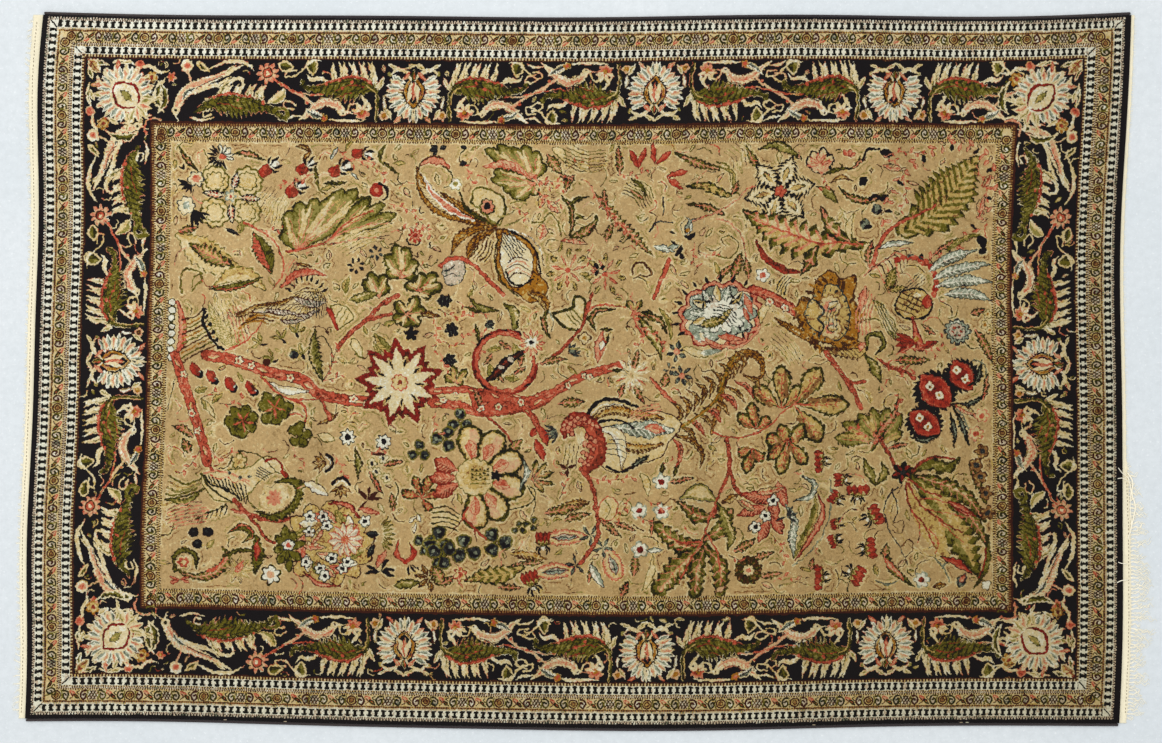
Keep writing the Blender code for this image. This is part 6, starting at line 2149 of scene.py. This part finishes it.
def makeSlab(rings, flat, facing):
    # a grid face with the chart on it, rings of rim below (or above) it, and a closing face;
    # rings are (height, inset) in millimetres, and facing is 1 upwards or -1 downwards
    rows, columns = pile["rows"], pile["columns"]
    u, v = sheetGrid(rows, columns)
    plane = onPlan(u, v)
    middle = plane.mean(axis=(0, 1))
    size = np.abs(plane - middle).max(axis=(0, 1))
    grid = np.empty(plane.shape[:2] + (3,))
    height, inset = rings[0]
    grid[..., :2] = middle + (plane - middle) * (1 - inset / size)
    grid[..., 2] = height + (0 if flat else swellAt(u, v))
    order = outlineOrder(rows, columns)
    edgePlane = plane.reshape(-1, 2)[order]
    edgeSwell = np.zeros(len(order)) if flat else swellAt(u, v).ravel()[order]
    points, count = [grid.reshape(-1, 3)], grid.size // 3
    faces = [gridFaces(rows + 1, columns + 1)[:, ::-1] if facing > 0 else gridFaces(rows + 1, columns + 1)]
    before = order
    for height, inset in rings[1:]:
        ring = np.empty((len(order), 3))
        ring[:, :2] = middle + (edgePlane - middle) * (1 - inset / size)
        ring[:, 2] = height + edgeSwell * (height > pile["swellFrom"])
        after = count + np.arange(len(order))
        quads = np.stack([before, np.roll(before, -1), np.roll(after, -1), after], axis=-1)
        faces.append(quads if facing > 0 else quads[:, ::-1])
        points.append(ring)
        count += len(order)
        before = after
    return toPiece(np.concatenate(points)), np.concatenate(faces), before


def addSlab(name, material, rings, flat, facing):
    points, quads, last = makeSlab(rings, flat, facing)
    closing = last[::-1] if facing < 0 else last
    piece = addPiece(name, points, quads, [material], closing=closing)
    fitChart(piece.data, len(quads), facing)
    unfold(piece.data, points, len(closing))
    return piece


def fitChart(mesh, quadCount, facing):
    # the cell map places a point within its face; rim faces take the knots they hang from
    rows, columns = pile["rows"], pile["columns"]
    packed = packChart()
    top = rows * columns
    faceAt = np.arange(top).reshape(rows, columns)
    edgeFaces = np.concatenate([faceAt[0, :], faceAt[:, -1], faceAt[-1, ::-1], faceAt[::-1, 0]])
    rims = (quadCount - top) // len(edgeFaces)
    owner = np.concatenate([np.arange(top)] + [edgeFaces] * rims + [[0]])
    for row in range(3):
        held = mesh.attributes.new(f"chart{row}", "FLOAT_VECTOR", "FACE")
        held.data.foreach_set("vector", packed[owner][:, row, :].astype(np.float32).ravel())
    corner = np.array([(0, 0), (1, 0), (1, 1), (0, 1)], np.float32)
    if facing > 0:
        corner = corner[::-1]
    firstKnot = 0.02  # a place within a face's first knot, for the rim's faces
    beyond = np.full((len(mesh.loops) - top * 4, 2), firstKnot, np.float32)
    cells = np.concatenate([np.tile(corner, (top, 1)), beyond])
    mesh.uv_layers.new(name="cell").data.foreach_set("uv", cells.ravel())


def unfold(mesh, points, closingCount):
    # a map for baking: the plan seen from above with its rim unfolded outwards, and the
    # closing face laid small in the free part beside it
    half = np.abs(points[:, :2]).max(axis=0)
    topCount = (pile["rows"] + 1) * (pile["columns"] + 1)
    drop = np.where(np.arange(len(points)) < topCount, 0.0, np.abs(points[:, 2] - points[0, 2]))[:, None]
    flat = points[:, :2] * (1 + drop / half)
    flat = (flat - flat.min(axis=0)) / (2.02 * half[0])
    corners = np.empty(len(mesh.loops), np.int32)
    mesh.loops.foreach_get("vertex_index", corners)
    places = flat[corners] + 0.004
    places[-closingCount:] = flat[corners[-closingCount:]] * 0.5 + (0.02, 0.67)
    mesh.uv_layers.new(name="OFBake").data.foreach_set("uv", places.astype(np.float32).ravel())


print("weaving the pile")
knottedPile = addSlab("knottedPile", pileWool, pile["rim"], False, 1)
knottedBack = addSlab("knottedBack", backWool, pile["backRim"], True, -1)
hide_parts("rug_body")
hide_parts("rug_body")
for piece in (knottedPile, knottedBack):
    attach(piece, "root")


# Tubes: many round yarns at once, each a row of places with its own radii.
tubeSides = 6


def yarnTubes(lines, radii):
    # lines is (yarns, steps, 3) and radii (yarns, steps), both in millimetres; the section is a
    # circle square to the line, and both ends are closed by quads
    lines, radii = np.asarray(lines, float), np.asarray(radii, float)
    heading = np.gradient(lines, axis=1)
    heading /= np.linalg.norm(heading, axis=2)[..., None] + 1e-9
    sideways = np.stack([-heading[..., 1], heading[..., 0], np.zeros(heading.shape[:2])], axis=-1)
    flat = np.linalg.norm(sideways, axis=2)[..., None]
    sideways = np.where(flat > 1e-3, sideways / (flat + 1e-9), (1.0, 0.0, 0.0))
    upwards = np.cross(heading, sideways)
    turn = 2 * np.pi * np.arange(tubeSides) / tubeSides
    ring = np.cos(turn)[:, None] * sideways[..., None, :] + np.sin(turn)[:, None] * upwards[..., None, :]
    points = lines[..., None, :] + ring * radii[..., None, None]
    return points.reshape(-1, 3), tubeFaces(*radii.shape, tubeSides)


# The overcast sides: wool wound round the outer warps, each turn a small ridge.
overcast = {"length": 1580, "height": 4.4, "squareness": 0.62, "turn": 1.9, "groove": 0.17,
    "stepsPerTurn": 6, "sides": 12}


def makeOvercast(name, share):
    # section = superellipse; its size dips by groove * (1 - |sin(pi * (along / turn + angle))|)
    own = overcast
    steps = int(own["length"] / own["turn"] * own["stepsPerTurn"])
    line = onPlan(np.linspace(0.0006, 0.9994, steps + 1), np.full(steps + 1, share))
    heading = np.gradient(line, axis=0)
    heading /= np.linalg.norm(heading, axis=1)[:, None]
    angle = 2 * np.pi * (np.arange(own["sides"]) + 0.5) / own["sides"]
    c, s = np.cos(angle), np.sin(angle)
    sideways = np.sign(c) * np.abs(c) ** own["squareness"]
    upwards = np.sign(s) * np.abs(s) ** own["squareness"]
    sideways = sideways / np.abs(sideways).max() * plan["cordWidth"] / 2
    upwards = upwards / np.abs(upwards).max() * own["height"] / 2
    along = np.arange(steps + 1)[:, None] / own["stepsPerTurn"]
    uneven = 0.2 * np.sin(along * 0.37) + 0.15 * np.sin(along * 0.113 + 1)
    dip = 1 - own["groove"] * (1 - np.abs(np.sin(np.pi * (along + uneven + angle[None, :] / (2 * np.pi)))))
    rounded = np.minimum(1, 0.25 + 0.25 * np.minimum(np.arange(steps + 1), np.arange(steps, -1, -1)))[:, None]
    across = sideways[None, :] * dip * rounded
    height = upwards[None, :] * dip * rounded + own["height"] / 2
    points = np.empty((steps + 1, own["sides"], 3))
    points[..., 0] = line[:, :1] - heading[:, 1:] * across
    points[..., 1] = line[:, 1:] + heading[:, :1] * across
    points[..., 2] = height
    return addPiece(name, toPiece(points.reshape(-1, 3)), tubeFaces(1, steps + 1, own["sides"]), [navyYarn])


# The ends: a flat woven strip each, and warp ends twisted in small bundles.
ends = {
    "left": {
        "outward": -1.0,
        # share of the end from the far corner, strip's width, fringe's length
        "rows": (
            (0, 14.5, 9), (0.12, 13, 7), (0.3, 11.5, 5), (0.6, 11, 4.6), (0.85, 10.5, 6.5), (0.95, 10, 10),
            (1, 10, 13),
        ),
        "pitch": 9.6,
        "reach": 8.0,
        "yarns": 4,
        "steps": 9,
        "spread": 2.6,
        "wave": 0.55,
        "radius": 0.3,
        "lift": 0.35,
        "uneven": (0.65, 1.175),
        "seed": 15,
        "stitches": (0.01, 0.99, 0.62),  # from and to along the end, and how far out on the strip
    },
    "right": {
        "outward": 1.0,
        "rows": (
            (0, 5, 0), (0.3, 5.5, 0), (0.62, 6, 0), (0.66, 9, 14), (0.72, 12, 20), (0.85, 12.5, 29),
            (0.95, 12.5, 27), (1, 11, 19),
        ),
        "pitch": 5.6,
        "reach": 26.0,
        "yarns": 3,
        "steps": 21,
        "spread": 4.2,
        "wave": 3.0,
        "radius": 0.56,
        "lift": 1.5,
        "uneven": (0.4, 1.4),
        "seed": 16,
        "stitches": (0.66, 0.985, 0.72),
    },
    "width": 1030,
    "stripColumns": 720,
    "thickness": 1.5,
    "lean": (5.0, 96),  # how far bundles lean and curl aside, and how far apart along the end
    "curl": (0.9, 21),
    "stitchEvery": 5.2,
    "stubEvery": 2.4,
}


def endPlace(side, share, out):
    # a place on an end: share of the body's width from the far corner, and how far out
    own = ends[side]
    v = sideShare + (1 - 2 * sideShare) * np.asarray(share, float)
    place = onPlan((1 + own["outward"]) / 2, v)
    return place + np.stack([own["outward"] * np.broadcast_to(out, v.shape), np.zeros(v.shape)], axis=-1)


def endWidth(side, share, column=1):
    rows = np.array(ends[side]["rows"], float)
    return np.interp(share, rows[:, 0], rows[:, column])


def makeStrip(side):
    # the woven strip's section: a flat band with rounded edges, its outer edge a little frayed
    columns = ends["stripColumns"]
    share = np.linspace(0, 1, columns)
    width = endWidth(side, share) + 0.35 * np.sin(share * 610) + 0.3 * np.sin(share * 257 + 1)
    section = np.array([(0.0, 0.15), (0.0, 0.85), (0.03, 1.0), (0.25, 0.9), (0.4, 1.0), (0.55, 0.9),
        (0.7, 1.0), (0.97, 0.85), (1.0, 0.5), (0.99, 0.12), (0.9, 0.02), (0.1, 0.02)])
    inner = plan["seamGap"]
    points = np.empty((columns, len(section), 3))
    for k, (across, up) in enumerate(section):
        points[:, k, :2] = endPlace(side, share, inner + (width - inner) * across)
        points[:, k, 2] = ends["thickness"] * (0.03 + 0.97 * up)
    faces = tubeFaces(1, columns, len(section))
    return points.reshape(-1, 3), faces if side == "left" else faces[:, ::-1]


def strandRoots(side):
    # where each bundle stands and how long it is, shortened and lengthened at random
    own = ends[side]
    random = np.random.default_rng(own["seed"])
    length = (plan["farLeft"][1] - plan["nearLeft"][1]) * (1 - 2 * sideShare)
    places = np.arange(own["pitch"], length - own["pitch"], own["pitch"])
    places = places + random.uniform(-0.08, 0.08, len(places)) * own["pitch"]
    wanted = endWidth(side, places / length, 2)
    long = wanted * random.uniform(*own["uneven"], len(places))
    kept = wanted >= 4
    return places[kept], places[kept] / length, long[kept]


def makeStrands(side):
    # each bundle leans and curls with its place; its yarns wind round one another and part
    # towards the tips, and all sink from the strip to the floor
    own = ends[side]
    place, share, long = (np.repeat(item, own["yarns"]) for item in strandRoots(side))
    t = np.linspace(0, 1, own["steps"])[None, :]
    count = len(place)
    length = long * rng.uniform(0.72, 1.04, count)
    run = length[:, None] * t / own["reach"]
    (leanBy, leanEvery), (curlBy, curlEvery) = ends["lean"], ends["curl"]
    lean = leanBy * run**1.5 * np.sin(2 * np.pi * place / leanEvery)[:, None]
    curl = curlBy * np.sin(np.pi * run) * np.sin(2 * np.pi * place / curlEvery + 1)[:, None]
    phase = rng.uniform(0, 2 * np.pi, count)[:, None]
    apart = own["spread"] * (rng.uniform(-1, 1, count)[:, None] * t**1.3)
    wave = own["wave"] * t * np.sin(length[:, None] * t * 0.62 + phase) + 1.0 * t**2 * np.sin(length[:,
        None] * t * 0.2 + phase)
    root = np.tile(np.linspace(-0.5, 0.5, own["yarns"]), count // own["yarns"])[:, None]
    aside = lean + curl + apart + wave + root
    start = endPlace(side, share, endWidth(side, share) - 1.2)
    lines = np.empty((count, own["steps"], 3))
    lines[..., 0] = start[:, :1] + own["outward"] * (length[:, None] + 1.2) * t
    lines[..., 1] = start[:, 1:] - aside
    lift = own["lift"] * np.abs(np.sin(length[:, None] * t * 0.33 + phase)) * t
    lines[..., 2] = 0.75 * (1 - t) + 0.42 * t + lift
    radii = own["radius"] * (1 - 0.45 * t) * rng.uniform(0.75, 1.15, count)[:, None]
    return yarnTubes(lines, radii)


def makeStubs(side):
    # broken warp ends along the bare part of the strip
    share = np.arange(0.004, 0.996, ends["stubEvery"] / ends["width"])
    share = share + rng.uniform(-0.0006, 0.0006, len(share))
    length = rng.uniform(0.6, 3.4, len(share)) ** 1.2
    t = np.linspace(0, 1, 4)[None, :]
    start = endPlace(side, share, endWidth(side, share) - 0.8)
    lines = np.empty((len(share), 4, 3))
    lines[..., 0] = start[:, :1] + ends[side]["outward"] * (0.8 + length[:, None]) * t
    lines[..., 1] = start[:, 1:] + rng.uniform(-1.2, 1.2, len(share))[:, None] * t**2
    lines[..., 2] = 0.9 - 0.5 * t
    return yarnTubes(lines, 0.28 * (1 - 0.4 * t) * np.ones((len(share), 1)))


def makeStitches(side, low, high, at):
    # a line of stitches along the strip, each a short yarn that dips in at both ends
    share = np.arange(low, high, ends["stitchEvery"] / ends["width"])
    share = share + rng.uniform(-0.0005, 0.0005, len(share))
    t = np.linspace(0, 1, 6)[None, :]
    start = endPlace(side, share, endWidth(side, share) * at + rng.uniform(-0.3, 0.3, len(share)))
    lines = np.empty((len(share), 6, 3))
    lines[..., 0] = start[:, :1] + rng.uniform(-0.3, 0.3, len(share))[:, None] * t
    lines[..., 1] = start[:, 1:] - 2.6 * t
    lines[..., 2] = 1.3 + 0.4 * np.sin(np.pi * t)
    return yarnTubes(lines, 0.42 * np.ones((len(share), 6)))


def makeLoose():
    # a pulled loop at the right end and four short threads lying over the pile's edge
    routes = [[(796, -146, 2.5), (806, -160, 3.4), (803, -178, 1.9), (810, -196, 1.9), (806, -214, 2.0),
        (800, -240, 2.2)], [(797, -150, 2.6), (803, -172, 2.4), (801, -196, 1.6), (804, -226, 1.6),
        (797, -246, 2.2)], [(783, -140, 5.7), (788, -147, 5.6), (794, -152, 5.0), (801, -158, 1.6)],
        [(782, -156, 5.7), (789, -155, 5.6), (796, -158, 4.0), (803, -166, 1.4)],
        [(783, -277, 5.6), (788, -279, 5.7), (793, -279, 5.4), (799, -281, 2.2)],
        [(781, -307, 5.6), (787, -304, 5.7), (793, -303, 5.4), (800, -302, 2.2)]]
    thick = np.array([1.1, 0.9, 0.5, 0.5, 0.55, 0.65])
    steps, blur = 40, 7  # places along a thread, and how many of them are averaged to round it
    lines = []
    for route in routes:
        p = np.asarray(route, float)
        run, t = np.linspace(0, 1, len(p)), np.linspace(0, 1, steps)
        eased = np.stack([np.interp(t, run, p[:, k]) for k in range(3)], axis=-1)
        padded = np.pad(eased, ((blur // 2, blur // 2), (0, 0)), mode="edge")
        kernel = np.ones(blur) / blur
        lines.append(np.stack([np.convolve(padded[:, k], kernel, "valid") for k in range(3)], axis=-1))
    return yarnTubes(np.array(lines), np.repeat(thick[:, None], steps, axis=1))


kilim = {  # ribs a metre times two pi, the cotton's colour, the colour of the painted shade in the rib hollows, and how strongly it is mixed in
    "weft": 3600.0,
    "warp": 2900.0,
    "color": (246, 238, 210),
    "shade": (188, 170, 128),
    "shading": 0.28,
}


def kilimMaterial(name):
    # flat weave: weft ribs along the end and warp ribs across it, both sine waves of the
    # place; they shade and raise the cotton
    material, shader, w = principled(name, 0.92, 0.05, 0.5, 0.15)
    place, parts = w.whereabouts()
    wobble = w.times(w.noise(place, 160.0), 9.0)
    weft = w.math("SINE", w.plus(w.times(parts["X"], kilim["weft"]), wobble))
    warp = w.math("SINE", w.plus(w.times(parts["Y"], kilim["warp"]), wobble))
    rib = w.math("MULTIPLY_ADD", w.times(weft, warp), 0.5, 0.5)
    tone = useGroup(w, woolTone, Color=toLinear(kilim["color"]), Abrash=0.15, Mottle=0.1, Fibre=0.2,
        Dust=0.06)
    shaded = w.mix(w.times(w.minus(1.0, rib), kilim["shading"]), tone.outputs["Color"],
        toLinear(kilim["shade"]))
    w.put(shader.inputs["Base Color"], shaded)
    bumped(w, shader, rib, 0.0003, 0.6)
    return material


print("winding the sides and tying the ends")
halfCord = plan["cordWidth"] / 2 / (plan["farLeft"][1] - plan["nearLeft"][1])
for side, share in (("far", halfCord), ("near", 1 - halfCord)):
    wound = makeOvercast(f"overcast_{side}", share)
    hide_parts(f"selvedge_{side}")
    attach(wound, "root")

kilimCotton = kilimMaterial("kilimCotton")
stitchYarn = yarnMaterial("stitchYarn", (120, 104, 84), {"abrash": 0.2, "fibre": 0.3, "dust": 0.1,
    "relief": 0.0001})
for side in ("left", "right"):
    parts = [makeStrip(side), makeStrands(side), makeStubs(side), makeStitches(side, *ends[side]["stitches"])]
    looks = [0, 1, 1, 2]
    if side == "right":
        parts.append(makeLoose())
        looks.append(1)
    offsets = np.cumsum([0] + [len(points) for points, faces in parts[:-1]])
    points = np.concatenate([part[0] for part in parts])
    faces = np.concatenate([part[1] + offset for part, offset in zip(parts, offsets)])
    slots = np.concatenate([np.full(len(part[1]), look) for part, look in zip(parts, looks)])
    fringe = addPiece(f"fringe_{side}", toPiece(points), faces, [kilimCotton, cottonYarn, stitchYarn], slots)
    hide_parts(f"fringed_end_{side}")
    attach(fringe, "root")


# The floor, the light and the camera, which looks straight down.
stage = {
    "floorSize": 8.0,
    "floorColor": (219, 224, 227),
    "floorHeight": -0.0002,
    "keyPower": 68.0,
    "keySize": 3.0,
    "keyPlace": (-0.5, 0.8, 3.4),
    "skyStrength": 0.75,
    "lens": 62.0,
    "sensor": 36.0,
    "rugHeight": 0.005,
    "frameWidth": 1.6849,  # metres across the picture at the rug's level
    "aim": (4.35, -0.7),  # the place on the plan, in millimetres, that it looks down on
}


def makeFloor():
    reach, height = stage["floorSize"] / 2, stage["floorHeight"]
    points = np.array([(x * reach, y * reach, height) for x, y in ((-1, -1), (1, -1), (1, 1), (-1, 1))])
    material, shader, w = principled("paintedFloor", 0.6, 0.0, 0.5, 0.3)
    place = w.node("ShaderNodeTexCoord").outputs["Object"]
    broad = w.noise(place, 2.6, 4.0, 0.6)
    grit = w.noise(place, 90.0, 5.0, 0.75)
    specks = w.span(w.noise(place, 260.0, 2.0, 0.5), 0.62, 0.72, 0.0, 1.0)
    base = w.mix(w.span(broad, 0.35, 0.65, 0.0, 1.0), toLinear((211, 218, 222)),
        toLinear(stage["floorColor"]))
    base = w.mix(w.span(grit, 0.4, 0.62, 0.0, 0.45), base, toLinear((200, 206, 209)))
    base = w.mix(w.times(specks, 0.35), base, toLinear((246, 248, 249)))
    w.put(shader.inputs["Base Color"], base)
    bumped(w, shader, grit, 0.0006, 0.3)
    floor = addPiece("floor", points, np.array([[0, 1, 2, 3]]), [material], smooth=False)


def makeLights():
    lamp = bpy.data.lights.new("softBox", "AREA")
    lamp.shape = "RECTANGLE"
    lamp.size = lamp.size_y = stage["keySize"]
    lamp.energy = stage["keyPower"]
    lamp.color = (1.0, 0.985, 0.96)
    holder = bpy.data.objects.new("softBox", lamp)
    holder.location = stage["keyPlace"]
    holder.rotation_euler = Vector(stage["keyPlace"]).to_track_quat("Z", "Y").to_euler()
    bpy.context.scene.collection.objects.link(holder)
    world = bpy.data.worlds.new("room")
    world.use_nodes = True
    world.node_tree.nodes["Background"].inputs["Color"].default_value = (0.97, 0.985, 1.0, 1.0)
    world.node_tree.nodes["Background"].inputs["Strength"].default_value = stage["skyStrength"]
    bpy.context.scene.world = world


def makeCamera():
    camera = bpy.data.cameras.new("camera")
    camera.lens = stage["lens"]
    camera.sensor_width = stage["sensor"]
    holder = bpy.data.objects.new("camera", camera)
    distance = stage["frameWidth"] * stage["lens"] / stage["sensor"]
    x, y = toFloor(np.array(stage["aim"]))
    holder.location = (x, y, distance + stage["rugHeight"])
    bpy.context.scene.collection.objects.link(holder)
    bpy.context.scene.camera = holder


print("setting the stage")
makeFloor()
makeLights()
makeCamera()
bpy.context.scene.view_settings.view_transform = "Standard"
